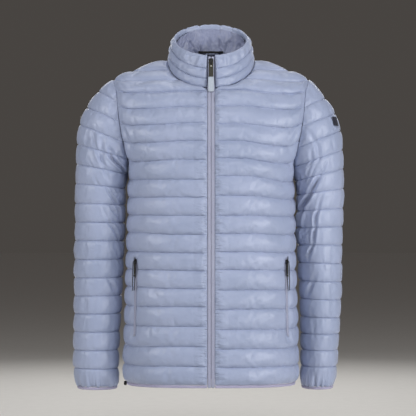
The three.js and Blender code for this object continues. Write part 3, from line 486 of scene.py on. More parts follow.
def stitches(name, lines, materials, stitch, **place):
    """Stitches along lines of points, each with its outward directions."""
    pitch, size = stitch
    centres, along, outward = [], [], []
    for points, out in lines:
        run = run_of(points)
        at = np.arange(pitch, run[-1] - pitch / 2, pitch)
        middle = points_at(at, run, points)
        up = unit(points_at(at, run, out))
        centres.append(middle + up * STITCH_LIFT)
        along.append(unit(points_at(at + STITCH_AHEAD, run, points) - middle))
        outward.append(up)
    joined = [np.concatenate(part) for part in (centres, along, outward)]
    return lumps(name, *joined, size, materials, **place)


ROUNDING = {"merge": 1e-6, "flat": math.radians(4), "sharp": math.radians(28)}


def rounded_copy(node, name, body, material, width):
    """A copy of a packed rigid piece with its sharp edges rounded off."""
    shape = bmesh.new()
    shape.from_mesh(frame["nodes"][node].data)
    bmesh.ops.remove_doubles(shape, verts=shape.verts, dist=ROUNDING["merge"])
    bmesh.ops.dissolve_limit(shape, angle_limit=ROUNDING["flat"], verts=shape.verts, edges=shape.edges)
    sharp = [e for e in shape.edges if e.is_manifold and e.calc_face_angle(0) > ROUNDING["sharp"]]
    bmesh.ops.bevel(shape, geom=sharp, offset=width * MM, segments=2, affect="EDGES", clamp_overlap=True)
    mesh = bpy.data.meshes.new(name)
    shape.to_mesh(mesh)
    shape.free()
    mesh.materials.append(material)
    return dress(bpy.data.objects.new(name, mesh), body, [node])


# Zip hardware and cords. A slider's frame has X across the zip, Y up it and Z out of the cloth.

HINGES = {
    # name: (place in metres, Y, Z)
    "main": ((0, -0.085517, -0.01178), (0, 0.0878, 0.9961), (0, -0.9961, 0.0878)),
    "left": ((0.159372, -0.075464, -0.427422), (-0.0191, 0.0041, 0.9998), (0.8214, -0.5701, 0.018)),
    "right": ((-0.159372, -0.075464, -0.427422), (0.0191, 0.0041, 0.9998), (-0.8214, -0.5701, 0.018)),
}
HINGE_LIFT = 2.5
CORD = {"radius": 0.9, "sides": 10}
CORD_ROUTES = [
    [(-4.6, 0, 3.4), (-5, -14, 4), (-4.9, -32, 4.2), (-3.4, -48, 4.4), (-2.4, -62, 4.6)],
    [(4.6, 0, 3.4), (5, -14, 4), (4.9, -32, 4.2), (3.8, -48, 4.4), (3, -61, 4.6)],
]


def slider_frame(name):
    """Origin in millimetres and the three axes of a slider's frame."""
    place, up, out = (np.array(v, float) for v in HINGES[name])
    up, out = unit(up), unit(out)
    return place / MM - out * HINGE_LIFT, np.array([np.cross(up, out), up, out])


def spline(points, count):
    """A smooth line through points, as centripetal Catmull-Rom."""
    points = np.array(points, float)
    padded = np.concatenate([[2 * points[0] - points[1]], points, [2 * points[-1] - points[-2]]])
    line = []
    for i in range(1, len(padded) - 2):
        p = padded[i - 1 : i + 3]
        knots = np.concatenate([[0], np.cumsum(np.linalg.norm(np.diff(p, axis=0), axis=1) ** 0.5)])
        for t in np.linspace(knots[1], knots[2], count, endpoint=False):
            a = [mix(p[k], p[k + 1], (t - knots[k]) / (knots[k + 1] - knots[k])) for k in range(3)]
            b = [mix(a[k], a[k + 1], (t - knots[k]) / (knots[k + 2] - knots[k])) for k in range(2)]
            line.append(mix(b[0], b[1], (t - knots[1]) / (knots[2] - knots[1])))
    return np.array([*line, points[-1]])


def cord(name, line, radius, node):
    """A round cord along a line, with a fine braid and a melted end."""
    along = unit(np.gradient(line, axis=0))
    side = unit(np.cross(along, [0, 0.3, 1.0]))
    other = np.cross(along, side)
    turns = np.arange(CORD["sides"]) * 2 * math.pi / CORD["sides"]
    reach = run_of(line)
    size = radius * (1 + 0.05 * np.cos(reach * 4))[:, None, None]
    around = side[:, None] * np.cos(turns)[None, :, None] + other[:, None] * np.sin(turns)[None, :, None]
    piece = tube(name, line[:, None] + size * around, [BLACK_CLOTH], slot="cord", replaces=[node])
    subdivide(piece)


def make_cords():
    for side in ("left", "right"):
        origin, axes = slider_frame(side)
        for i, route in enumerate(CORD_ROUTES):
            line = origin + spline(route, 8) @ axes
            cord(f"pocket_cord_{side}_{i + 1}_braid", line, CORD["radius"], f"pocket_cord_{side}_{i + 1}")


RIVET = [(0.02, 0.35), (0.5, 0.33), (0.95, 0.18), (1.15, 0), (1.5, 0), (1.6, -0.15), (1.6, -0.4)]


def rivet(name, side, body, drop, scale):
    """A small domed rivet with a flange on the face of a pull."""
    origin, (x, y, z) = slider_frame(side)
    centre = origin + z * (HINGE_LIFT + 0.6) - y * drop
    turns = np.arange(20) * math.pi / 10
    around = [x * math.cos(t) + y * math.sin(t) for t in turns]
    rings = [[centre + (z * height + spoke * reach) * scale for spoke in around] for reach, height in RIVET]
    tube(name, rings[::-1], [BRIGHT_METAL], body=body, slot="gunmetal")


def make_hardware():
    rounded_copy("zip_slider", "zip_slider_body", "jacket", BLACK_COAT, 0.35)
    rounded_copy("zip_pull", "zip_pull_plate", "main_pull", GUNMETAL, 0.3)
    rounded_copy("zip_pull_tab", "zip_pull_grip", "main_pull", PALE_RUBBER, 0.5)
    rivet("zip_pull_rivet", "main", "main_pull", 8.5, 0.9)
    for side in ("left", "right"):
        slider, pull, body = f"pocket_{side}_slider", f"pocket_{side}_pull", f"{side}_pocket_pull"
        rounded_copy(slider, slider + "_body", "jacket", BLACK_COAT, 0.3)
        rounded_copy(pull, pull + "_plate", body, GUNMETAL, 0.3)
        rivet(f"pocket_{side}_rivet", side, body, 27, 0.75)
    rounded_copy("hem_cord_lock", "hem_cord_lock_body", "jacket", BLACK_COAT, 0.5)


make_cords()
make_hardware()

# Body

SIDE_Y = 8
SEAM_GAP = 0.3
HEM_Z = -680.5
HEM_DROP = {"side": 5, "back": 8, "reach": 120}
HEM_PITCH = 39.8
PITCH_TAPER = 0.25
GAUGE_X = 130
LAST_SEAM_Z = -14
TOP_Z = -1
ZIP_HALF = 8
BODY_SECTIONS = table(
    "z half_width front_y back_y square",
    [
        (-686, 178, -129, 134, 2.5),
        (-660, 183, -131, 137, 2.5),
        (-603, 181.5, -131, 135, 2.5),
        (-520, 179.5, -130, 129, 2.5),
        (-430, 176.5, -129, 124, 2.5),
        (-330, 174.5, -131, 128, 2.5),
        (-239, 173.5, -131, 136, 2.5),
        (-150, 173.5, -119, 134, 2.4),
        (-100, 173.5, -101, 124, 2.3),
        (-65, 173.5, -82, 112, 2.2),
        (-43, 173.5, -70, 102, 2.15),
        (-20, 173.5, -60, 86, 2.1),
        (0, 173.5, -50, 67, 2.1),
    ],
)
NECK = {"half_width": 92, "front_depth": 90, "front_z": -65, "slope": 0.9, "rise": 5.7, "rise_reach": 36}
TIP_X, TIP_Z = 208, -43
SHOULDER_CURVE = 1.35
PIT_Z = -239
ARMHOLE_DEPTH = 68
ARMHOLE_LINE = table(
    "z x",
    [(-239, 173.5), (-215, 175.5), (-175, 185.5), (-140, 192), (-105, 196.5), (-70, 200), (-43, 208)],
)
PIT_MID = (TIP_Z + PIT_Z) / 2
PIT_HALF = (TIP_Z - PIT_Z) / 2
POCKET_STRIP = (0.644, 0.674)
POCKET = {"top": -421, "bottom": -583, "half_width": 3.7}
UNDERARM = {"clear": 11, "reach": 30}
EDGE_GAP = 0.25

# Quilting

WALL = 2.5
CHANNEL_STEPS = [0, 0.035, 0.09, 0.17, 0.28, 0.42, 0.58, 0.72, 0.83, 0.91, 0.965]
BODY_PUFF = 5.6
SLEEVE_PUFF = 3.0
COLLAR_PUFF = 3.6
SEAM_SINK = 1.3
SEAM_CREASE = 0.85
INNER_STEP = 3  # the inside keeps every third row and column
COLUMNS = {"front": 56, "back": 79, "sleeve": 96, "collar": 132, "facing": 120}
# How uneven the channels are: share of their height, then the size of a patch
UNEVEN = {"body": (0.12, (60, 30)), "sleeve": (0.15, (45, 30)), "collar": (0.12, (30, 16))}
SEAM_WAVE = (75, 55)  # size of the quilting seams' slow waves
PUCKER = {"size": 7, "reach": 4, "depth": 0.7}
EDGE_WRINKLE = {"size": 5.5, "reach": 14, "depth": 3.2, "slant": 0.6}
# How far each front's quilting seams lie from their even places: height, near the zip, near the side
SEAM_SHIFTS = {
    -1: [
        (-30, 0, 0), (-98, -2, -6), (-168, -1, -5), (-209, -3, -6.4), (-250, -6.8, -7),
        (-290, -5.2, -5.5), (-328, -5, -4.3), (-367, -7, -3), (-407, -6, -4.5), (-446, -3, -2),
        (-484, -0.6, 0.4), (-523, 1, -1), (-566, 0, -2), (-610, -2.3, -6), (-650, -2.5, -3),
        (-676, 0, 0),
    ],
    1: [
        (-30, 0, 0), (-62, 1.5, -6), (-96, 1, -6), (-134, -3, -9), (-171, -1.5, -11),
        (-209, -1, -10), (-245, 0, -11), (-286, -2, -9.5), (-328, -6, -7.5), (-367, -4.5, -7.5),
        (-405, -3, -6), (-444, -1, -4.5), (-486, -4.6, -6), (-529, -5.3, -6.2), (-572, -7.5, -8.7),
        (-612, -6.4, -9.5), (-651, -3.2, -4), (-676, 0, 0),
    ],
}


def armhole_x(z):
    return lookup(ARMHOLE_LINE, "z", z, "x")


def section(z, column):
    return lookup(BODY_SECTIONS, "z", z, column)


def row_end(z):
    """Where a body row ends: at the side seam, the armhole or the shoulder seam."""
    if z <= PIT_Z:
        return section(z, "half_width"), 0
    if z < TIP_Z:
        return armhole_x(z), ARMHOLE_DEPTH * math.sqrt(max(0, 1 - ((z - PIT_MID) / PIT_HALF) ** 2))
    return mix(NECK["half_width"], TIP_X, (z / TIP_Z) ** (1 / SHOULDER_CURVE)), 0


def row_start(z, face):
    """Where a body row starts: at the middle, or on the front neckline."""
    if face == "back":
        return 0, section(z, "back_y") - SIDE_Y
    if z <= NECK["front_z"]:
        return ZIP_HALF, SIDE_Y - section(z, "front_y")
    forward = (z / NECK["front_z"]) ** (1 / NECK["slope"])
    reach = NECK["half_width"] * math.sqrt(max(0, 1 - forward**2))
    return max(ZIP_HALF, reach), NECK["front_depth"] * forward


def body_row(z, face, shares):
    """A body row as an arc of a superellipse, at shares of its length. Below 0 is mirrored."""
    n = section(z, "square")
    start, end = row_start(z, face), row_end(z)
    xs, ds, xe, de = (max(v, 0) ** n for v in (*start, *end))
    det = xe * ds - xs * de
    half_width = ((ds - de) / det) ** (-1 / n)
    depth = ((xe - xs) / det) ** (-1 / n)
    ends = [math.atan2((x / half_width) ** (n / 2), (d / depth) ** (n / 2)) for x, d in (start, end)]
    t = np.linspace(*ends, 160)
    x = half_width * np.maximum(0, np.sin(t)) ** (2 / n)
    away = depth * np.maximum(0, np.cos(t)) ** (2 / n)
    length = np.concatenate([[0], np.cumsum(np.hypot(np.diff(x), np.diff(away)))])
    share = np.abs(shares)
    at = share * length[-1]
    x, away = np.interp(at, length, x), np.interp(at, length, away)
    back = face == "back"
    drop = mix(HEM_DROP["back"], HEM_DROP["side"], share**2) if back else HEM_DROP["side"] * share**2
    low = clamp01(1 - (z - HEM_Z) / HEM_DROP["reach"]) ** 2
    high = smooth(1 - (TOP_Z - z) / NECK["rise_reach"]) if back else 0
    height = z - drop * low + NECK["rise"] * high * np.cos(share * math.pi / 2)
    sign = 1 if back else -1
    return np.stack([np.sign(shares + 1e-9) * x, SIDE_Y + sign * np.maximum(away, 0.05), height], 1)


def body_seams():
    """Heights of the quilting seams: strips of equal cloth measured up the front."""

    def gauge(z):
        row = body_row(z, "front", np.linspace(0, 1, 5))
        return np.interp(GAUGE_X, row[:, 0], row[:, 1])

    seams, pitch, cloth, z = [HEM_Z], HEM_PITCH, 0.0, HEM_Z
    while z < LAST_SEAM_Z:
        cloth += math.hypot(1, gauge(z + 1) - gauge(z))
        z += 1
        if cloth >= pitch:
            seams.append(z)
            cloth = 0
            pitch -= PITCH_TAPER
    return seams


class Rows:
    """The rows of a panel: each one's place, share of its channel, channel and channel width."""

    def __init__(self, seams, top):
        usual = seams[2] - seams[1]
        rows = []
        for k, (low, high) in enumerate(zip(seams, [*seams[1:], top])):
            steps = CHANNEL_STEPS if high - low > 0.6 * usual else CHANNEL_STEPS[::2]
            rows += [(mix(low, high, t), t, k, high - low) for t in steps]
        rows.append((top, 0.0, len(seams), usual))
        self.at, self.share, self.channel, self.pitch = (np.array(v) for v in zip(*rows))
        self.seams = [r for r, t in enumerate(self.share) if t == 0]

    def pillow(self):
        """Height of a channel across it, 0 on its seams, fullest a little below its middle."""
        return 1.02 * (1 - np.abs(2 * self.share**0.9 - 1) ** 3.8)

    def puckers(self, run, seed):
        """Short puckers on both sides of each quilting seam."""
        made = np.zeros_like(run)
        for r, (t, k, pitch) in enumerate(zip(self.share, self.channel, self.pitch)):
            for seam, distance in ((k, t * pitch), (k + 1, (1 - t) * pitch)):
                near = distance / PUCKER["reach"]
                made[r] += wander(run[r] + 977 * seam, PUCKER["size"], seed) * near * math.exp(1 - near)
        return made * PUCKER["depth"]


def grid_normals(grid, sign=1, wrap_from=None):
    """Outward normals of a grid of points. Rows from wrap_from on are closed rings."""
    across = np.empty_like(grid)
    across[:, 1:-1] = grid[:, 2:] - grid[:, :-2]
    across[:, 0] = grid[:, 1] - grid[:, 0]
    across[:, -1] = grid[:, -1] - grid[:, -2]
    if wrap_from is not None:
        across[wrap_from:, 0] = across[wrap_from:, -1] = grid[wrap_from:, 1] - grid[wrap_from:, -2]
    up = np.empty_like(grid)
    up[1:-1] = grid[2:] - grid[:-2]
    up[0] = grid[1] - grid[0]
    up[-1] = grid[-1] - grid[-2]
    return unit(np.cross(across, up) * sign)


def grid_quads(rows, columns, wrap_from=None, flip=False, offset=0):
    """Quads of a grid. From row wrap_from on the last column is the first one."""
    ids = np.arange(rows * columns).reshape(rows, columns) + offset
    if wrap_from is not None:
        ids[wrap_from:, -1] = ids[wrap_from:, 0]
    quads = np.stack([ids[:-1, :-1], ids[:-1, 1:], ids[1:, 1:], ids[1:, :-1]], -1)
    return (quads[..., ::-1] if flip else quads), ids


def compact(points, quads):
    """Points and faces without unused points or repeated corners, and which points are used."""
    used, quads = np.unique(quads.reshape(-1, 4), return_inverse=True)
    faces = [list(dict.fromkeys(face)) for face in quads.reshape(-1, 4).tolist()]
    return points.reshape(-1, 3)[used], [face for face in faces if len(face) > 2], used


panels = []


class Panel:
    """A quilted panel: its flat surface, how it stands out, where it is sewn and its inside."""

    def __init__(self, name, node, base, normals, rows, puff, pinned, flip, wrap_from=None, wall=WALL):
        self.name, self.node, self.base, self.normals, self.rows = name, node, base, normals, rows
        self.puff, self.pinned, self.flip, self.wrap_from, self.wall = puff, pinned, flip, wrap_from, wall
        panels.append(self)

    def build(self):
        """The outer cloth alone, ready to be blown up."""
        points = self.base + self.normals * self.puff[..., None]
        quads, self.ids = grid_quads(*self.puff.shape, self.wrap_from, self.flip)
        points, faces, self.used = compact(points, quads)
        self.cloth = link_mesh(self.name + "_cloth", points, faces, [], body=None)
        self.start = points * MM
        self.sewn = self.pinned.reshape(-1)[self.used]
        self.result = self.start

    def settle(self, limit):
        """Takes the blown-up shape, with no point moved further than the limit in metres."""
        moved = evaluated_points(self.cloth) - self.start
        distance = np.linalg.norm(moved, axis=1, keepdims=True)
        moved *= np.minimum(1, limit / np.maximum(distance, 1e-9))
        moved[self.sewn] = 0
        self.result = self.start + moved

    def take_shape(self):
        """The settled cloth as a grid again, with its wrinkles pressed in."""
        rows, columns = self.puff.shape
        grid = np.zeros((rows * columns, 3))
        grid[self.used] = self.result / MM
        grid = grid[self.ids.reshape(-1)].reshape(rows, columns, 3)
        bpy.data.objects.remove(self.cloth)
        sign = -1 if self.flip else 1
        self.out = grid_normals(grid, sign, self.wrap_from)
        sunk = np.zeros(rows)
        sunk[self.rows.seams[1:-1]] = SEAM_SINK
        self.grid = grid + self.out * (self.wrinkles - sunk[:, None])[..., None]

    def close(self):
        """The finished panel: the outer cloth, its turned-in edges and a plain inside."""
        self.take_shape()
        rows, columns = self.puff.shape
        turned = self.base - self.normals * self.wall
        edge = np.pad(turned, ((1, 1), (1, 1), (0, 0)), mode="edge")
        edge[1:-1, 1:-1] = self.grid
        quads, _ = grid_quads(rows + 2, columns + 2, None, self.flip)
        outer = self.without_borders(quads).reshape(-1, 4)
        closed = [] if self.wrap_from is None else [self.wrap_from]
        kept_rows = sorted({*range(0, rows, INNER_STEP), rows - 1, *closed})
        kept_columns = sorted({*range(0, columns, INNER_STEP), columns - 1})
        inside = turned[np.ix_(kept_rows, kept_columns)]
        wrap = kept_rows.index(self.wrap_from) if closed else None
        count = edge.shape[0] * edge.shape[1]
        inner, _ = grid_quads(*inside.shape[:2], wrap, not self.flip, count)
        points = np.concatenate([edge.reshape(-1, 3), inside.reshape(-1, 3)])
        points, faces, used = compact(points, np.concatenate([outer, inner.reshape(-1, 4)]))
        shell = FRONT_SHELL if self.name.startswith("front") else SHELL
        piece = link_mesh(self.name, points, faces, [shell, LINING], slot="shell", replaces=[self.node])
        first_inner = np.searchsorted(used, count)
        for polygon in piece.data.polygons:
            polygon.material_index = int(polygon.vertices[0] >= first_inner)
        self.pad(piece, np.where(used < count, used // edge.shape[1] - 1, -9))

    def pad(self, piece, row_of):
        """Keeps the piece's seams sharp and rounds the rest."""
        crease_rows(piece, row_of, self.rows.seams)
        subdivide(piece)

    def without_borders(self, quads):
        """Leaves out the side borders of the rows that are closed rings, and joins those rings."""
        if self.wrap_from is None:
            return quads
        columns = self.puff.shape[1] + 2
        first = self.wrap_from + 1
        ids = np.arange((self.puff.shape[0] + 2) * columns).reshape(-1, columns)
        joined = np.arange(ids.size)
        joined[ids[first:, columns - 2]] = ids[first:, 1]
        keep = np.ones(quads.shape[:2], bool)
        keep[first - 1 :, [0, -1]] = False
        return joined[quads[keep]]

    def seam_lines(self):
        """Each inner quilting seam as points with outward directions."""
        return [(self.grid[r], self.out[r]) for r in self.rows.seams[1:-1]]


def crease_rows(piece, row_of, seam_rows):
    """Keeps the quilting seams sharp when the mesh is subdivided."""
    mesh = piece.data
    ends = np.empty(len(mesh.edges) * 2, int)
    mesh.edges.foreach_get("vertices", ends)
    rows = row_of[ends].reshape(-1, 2)
    seam = (rows[:, 0] == rows[:, 1]) & np.isin(rows[:, 0], seam_rows)
    crease = mesh.attributes.new("crease_edge", "FLOAT", "EDGE")
    crease.data.foreach_set("value", np.where(seam, SEAM_CREASE, 0.0))


def evaluated_points(piece):
    mesh = piece.evaluated_get(bpy.context.evaluated_depsgraph_get()).data
    points = np.empty(len(mesh.vertices) * 3)
    mesh.vertices.foreach_get("co", points)
    return points.reshape(-1, 3)


FRAMES = 14
BLOW_LIMIT = 0.005  # in metres
LOFT = {"usual": 0.72, "range": 0.28, "least": 0.3, "patch": (38, 38 * 0.7)}
GROWTH = {"front": 0.014, "back": 0.014, "sleeve": 0.022, "collar": 0.008}  # spare cloth between seams
CLOTH = {
    "quality": 4,
    "mass": 0.12,
    "tension_stiffness": 12,
    "compression_stiffness": 12,
    "shear_stiffness": 4,
    "bending_stiffness": 0.05,
    "air_damping": 2,
    "use_pressure": True,
    "uniform_pressure_force": 3.2,
    "vertex_group_pressure": "loft",
    "vertex_group_mass": "pins",
}


def add_cloth(panel):
    """Makes a panel's outer cloth a balloon that is sewn down on its seams."""
    piece = panel.cloth
    pins = piece.vertex_groups.new(name="pins")
    pins.add([int(i) for i in np.flatnonzero(panel.sewn)], 1.0, "REPLACE")
    loft = piece.vertex_groups.new(name="loft")
    x, y, z = panel.start.T / MM
    amount = LOFT["usual"] + LOFT["range"] * field(x + y, z, LOFT["patch"], len(panel.start))
    for i, weight in enumerate(np.clip(amount, LOFT["least"], 1)):
        loft.add([i], float(weight), "REPLACE")
    cloth = piece.modifiers.new("cloth", "CLOTH")
    for name, value in CLOTH.items():
        setattr(cloth.settings, name, value)
    cloth.settings.shrink_min = -GROWTH[panel.name.split("_")[0]]
    cloth.settings.effector_weights.gravity = 0
    cloth.collision_settings.use_collision = False
    cloth.point_cache.frame_end = FRAMES


def blow_up():
    """Runs all the panels as cloth at once and takes their shapes."""
    for panel in panels:
        panel.build()
    for panel in panels:
        add_cloth(panel)
    for step in range(1, FRAMES + 1):
        bpy.context.scene.frame_set(step)
    for panel in panels:
        panel.settle(BLOW_LIMIT)
    bpy.context.scene.frame_set(1)


def edge_wrinkles(height, distance, seed, depth=EDGE_WRINKLE["depth"]):
    """Wrinkles that run in from a seam across the channels."""
    slanted = height + EDGE_WRINKLE["slant"] * distance
    return depth * wander(slanted, EDGE_WRINKLE["size"], seed) * np.exp(-distance / EDGE_WRINKLE["reach"])


def moved_rows(base, heights, shift):
    """The same surface with each point's row moved up or down by a height."""
    moved = np.empty_like(base)
    for c in range(base.shape[1]):
        at = np.clip(heights + shift[:, c], heights[0], heights[-1])
        for k in range(3):
            moved[:, c, k] = np.interp(at, heights, base[:, c, k])
    return moved


def gathers(run, size, depth, seed):
    """Narrow valleys across a run, as elastic draws cloth in."""
    return depth * (0.35 - np.exp(-((wander(run, size, seed) * 3.2) ** 2)))


def hem_gather(run, height, seed):
    """Small gathers in the lowest channel, where the elastic draws the hem in."""
    up = height - height.min()
    low = smooth(1 - up / HEM_GATHER["reach"]) ** 1.3 * smooth(up / HEM_GATHER["start"])
    return low * gathers(run, HEM_GATHER["size"], HEM_GATHER["depth"], seed)


def straight_folds(surface, folds):
    """Folds along lines from start to end in x and z, each fading out towards both."""
    x, z = surface[..., 0], surface[..., 2]
    total = 0
    for (x0, z0), (x1, z1), depth, width in folds:
        length = math.hypot(x1 - x0, z1 - z0)
        t = ((x - x0) * (x1 - x0) + (z - z0) * (z1 - z0)) / length**2
        off = ((x - x0) * (z1 - z0) - (z - z0) * (x1 - x0)) / length / width
        inside = (t > 0) & (t < 1)
        total = total + depth * np.where(inside, fold_line(off) * np.sin(math.pi * clamp01(t)) ** 0.7, 0)
    return total


HEM_GATHER = {"size": 10, "depth": 2.2, "reach": 42, "start": 9}
CUFF_GATHER = {"size": 7.5, "depth": 4.6}
CUFF_RADIUS = 45
ARM_WRINKLES = 1.6
ZIP_WRINKLES = 2.6
# How far from a row's end a channel is full, beside seams and under the arm
END_REACH = {"usual": 0.09, "pit": 0.3, "zip": 0.045, "pocket": 0.035, "wrinkles": 0.02}
# Folds on the fronts: from and to in x and z, depth and width
FRONT_FOLDS = {
    -1: [((-187, -138), (-166, -178), 4.5, 3.4), ((-180, -162), (-160, -196), 3.0, 3.2)],
    1: [
        ((180, -150), (160, -186), 2.6, 3.4),
        ((14, -488), (30, -514), 1.6, 3),
        ((14, -556), (32, -580), 1.6, 3),
    ],
}


def sewn_rows(puff, rows, last=None):
    """Which points are sewn down: the quilting seams, and both sides up to the last row."""
    pinned = np.zeros(puff.shape, bool)
    pinned[rows.seams] = True
    pinned[:last, [0, -1]] = True
    return pinned


def side_reach(rows):
    """How far a channel fades out towards the side, further under the arm."""
    pit = clamp01(1 - np.abs(rows.at - PIT_Z) / UNDERARM["reach"])[:, None]
    return mix(END_REACH["usual"], END_REACH["pit"], pit)


def front_base(side, shares, rows):
    """A front's surface with its quilting seams as uneven as in the photo."""
    base = np.array([body_row(z, "front", shares) for z in rows.at])
    inner = ends_apart(shares, 0.08)
    heights, near, far = np.array(SEAM_SHIFTS[side][::-1], float).T
    near, far = (np.interp(rows.at, heights, v)[:, None] for v in (near, far))
    shift = mix(near, far, clamp01((shares - 0.3) / 0.3)) * smooth((1 - shares) / 0.2)
    height = np.broadcast_to(rows.at[:, None], base.shape[:2])
    return moved_rows(base, rows.at, shift + 0.8 * field(run_of(base), height, SEAM_WAVE, 11 + side) * inner)


def front_wrinkles(panel, side, free, shares, run, height):
    """Wrinkles beside the zip and the armhole, folds, puckers and the hem's gathers."""
    zip_side = edge_wrinkles(height, run, 31 + side)
    arm_side = edge_wrinkles(height, run[:, -1:] - run, 41 + side, ARM_WRINKLES)
    folds = straight_folds(panel.base, FRONT_FOLDS[side])
    gather = hem_gather(run, height, 25 + side) * ends_apart(shares, END_REACH["wrinkles"])
    return free * (zip_side + arm_side + folds) + free**0.3 * panel.rows.puckers(run, 51 + side) + gather


def front_panel(side):
    shares = np.linspace(0, 1, COLUMNS["front"])
    clear = np.min(np.abs(shares[:, None] - POCKET_STRIP), 1) > 0.006
    shares = np.sort(np.concatenate([shares[clear], POCKET_STRIP]))
    rows = Rows(BODY_SEAMS, TOP_Z)
    run = run_of(np.array([body_row(z, "front", shares) for z in rows.at]))
    height = np.broadcast_to(rows.at[:, None], run.shape)
    base = front_base(side, shares, rows)
    normals = grid_normals(base, 1)
    normals[rows.at <= NECK["front_z"], 0, 0] = 0
    normals = unit(normals)
    fade = smooth((1 - shares) / side_reach(rows)) * smooth(shares / END_REACH["zip"])
    pocket = ((rows.at < POCKET["top"] + 5) & (rows.at > POCKET["bottom"] - 5))[:, None]
    strip = (shares >= POCKET_STRIP[0] - 1e-6) & (shares <= POCKET_STRIP[1] + 1e-6)
    beside = np.min(np.abs(shares[:, None] - POCKET_STRIP), 1)
    fade = np.where(pocket, fade * smooth(beside / END_REACH["pocket"]), fade)
    pillow = rows.pillow()[:, None]
    puff = BODY_PUFF * pillow * fade * (1 + uneven("body", run, height, 21 + side))
    pinned = sewn_rows(puff, rows) | (pocket & strip)
    turn = np.array([side, 1, 1])
    node = "front_left" if side > 0 else "front_right"
    panel = Panel(node + "_panel", node, base * turn, normals * turn, rows, puff, pinned, side < 0)
    free = np.where(pocket & strip, 0, pillow * ends_apart(shares, END_REACH["wrinkles"]))
    panel.wrinkles = front_wrinkles(panel, side, free, shares, run, height)
    panel.pocket_columns = np.flatnonzero(strip)
    return panel


def back_panel():
    shares = np.linspace(-1, 1, COLUMNS["back"])
    rows = Rows(BODY_SEAMS, TOP_Z)
    base = np.array([body_row(z, "back", shares) for z in rows.at])
    run = run_of(base)
    height = np.broadcast_to(rows.at[:, None], run.shape)
    shift = 1.5 * field(run, height, SEAM_WAVE, 13) * ends_apart(shares, 0.08)
    base = moved_rows(base, rows.at, shift * smooth((TOP_Z - height) / 40))
    normals = grid_normals(base, -1)
    fade = smooth((1 - np.abs(shares)) / side_reach(rows))
    pillow = rows.pillow()[:, None]
    puff = BODY_PUFF * pillow * fade * (1 + uneven("body", run, height, 23))
    panel = Panel("back_panel", "back", base, normals, rows, puff, sewn_rows(puff, rows), True)
    inner = ends_apart(shares, END_REACH["wrinkles"])
    free = pillow * inner
    left_side = edge_wrinkles(height, run, 33, ARM_WRINKLES)
    right_side = edge_wrinkles(height, run[:, -1:] - run, 43, ARM_WRINKLES)
    gather = hem_gather(run, height, 27) * inner
    panel.wrinkles = free * (left_side + right_side) + free**0.3 * rows.puckers(run, 53) + gather
    return panel


# Sleeves, along the cloth from the shoulder's tip down the outer side

SLEEVE_CHANNELS = 16
HALVINGS = 40  # steps of each search for a place along a sleeve
SLEEVE = {"radius": 60, "under_turn": 1.9, "under_reach": 60, "sewn_share": 0.9, "least_fold": 0.35}
ARMHOLE_WRINKLE = {"depth": 1.8, "size": 7, "reach": 20}
RING = "along out_x out_z lean half_width half_depth centre_y"
SLEEVE_RINGS = {
    "right": [
        (0, 208, -43, 40, 60, 68, 8),
        (40, 237.5, -66, 30, 60, 68, 8),
        (83, 263.5, -102, 24.6, 60, 68, 8),
        (124, 279, -138.5, 22.5, 60, 68, 8),
        (165, 284.5, -179, 17, 60, 68, 8),
        (207, 286.8, -221, 11.5, 56, 68, 8),
        (249, 288.5, -262.6, 6, 52.5, 66, 9),
        (291, 289, -304.6, 2.3, 52.3, 64, 10),
        (371, 290, -384, 0, 51.3, 59, 11),
        (449, 291, -463, -1, 50, 56, 10),
        (525, 291, -538, -0.5, 48.3, 53, 7),
        (606, 291.5, -619, 0, 46, 49, 3),
        (645, 291, -657.4, 1, 45.8, 47, 1),
        (682, 284.5, -694, 0, 42, 41, 0),
    ],
    "left": [
        (0, 208, -43, 36, 60, 68, 8),
        (48, 240, -79, 24.5, 60, 68, 8),
        (88, 262.5, -113, 22, 60, 68, 8),
        (128, 275, -151, 22, 60, 68, 8),
        (167, 279.8, -190, 20, 59, 68, 8),
        (207, 281.6, -230, 15, 53, 68, 9),
        (247, 282.5, -270, 9, 49.8, 66, 11),
        (287, 281.8, -310, 4.5, 48.6, 64, 13),
        (369, 280, -392, 0, 46.5, 61, 16),
        (446, 278.8, -469, -1.5, 44.3, 60, 18),
        (522, 276, -545, -1.5, 41.2, 57, 18),
        (597, 270.5, -620, 0, 37.8, 54, 16),
        (632, 267.8, -654.5, 0, 36.8, 52, 15),
        (672, 261, -694, 0, 33.2, 46, 14),
    ],
}
SLEEVES = {
    "right": {"side": -1, "first_seam": 40, "rings": table(RING, SLEEVE_RINGS["right"])},
    "left": {"side": 1, "first_seam": 48, "rings": table(RING, SLEEVE_RINGS["left"])},
}
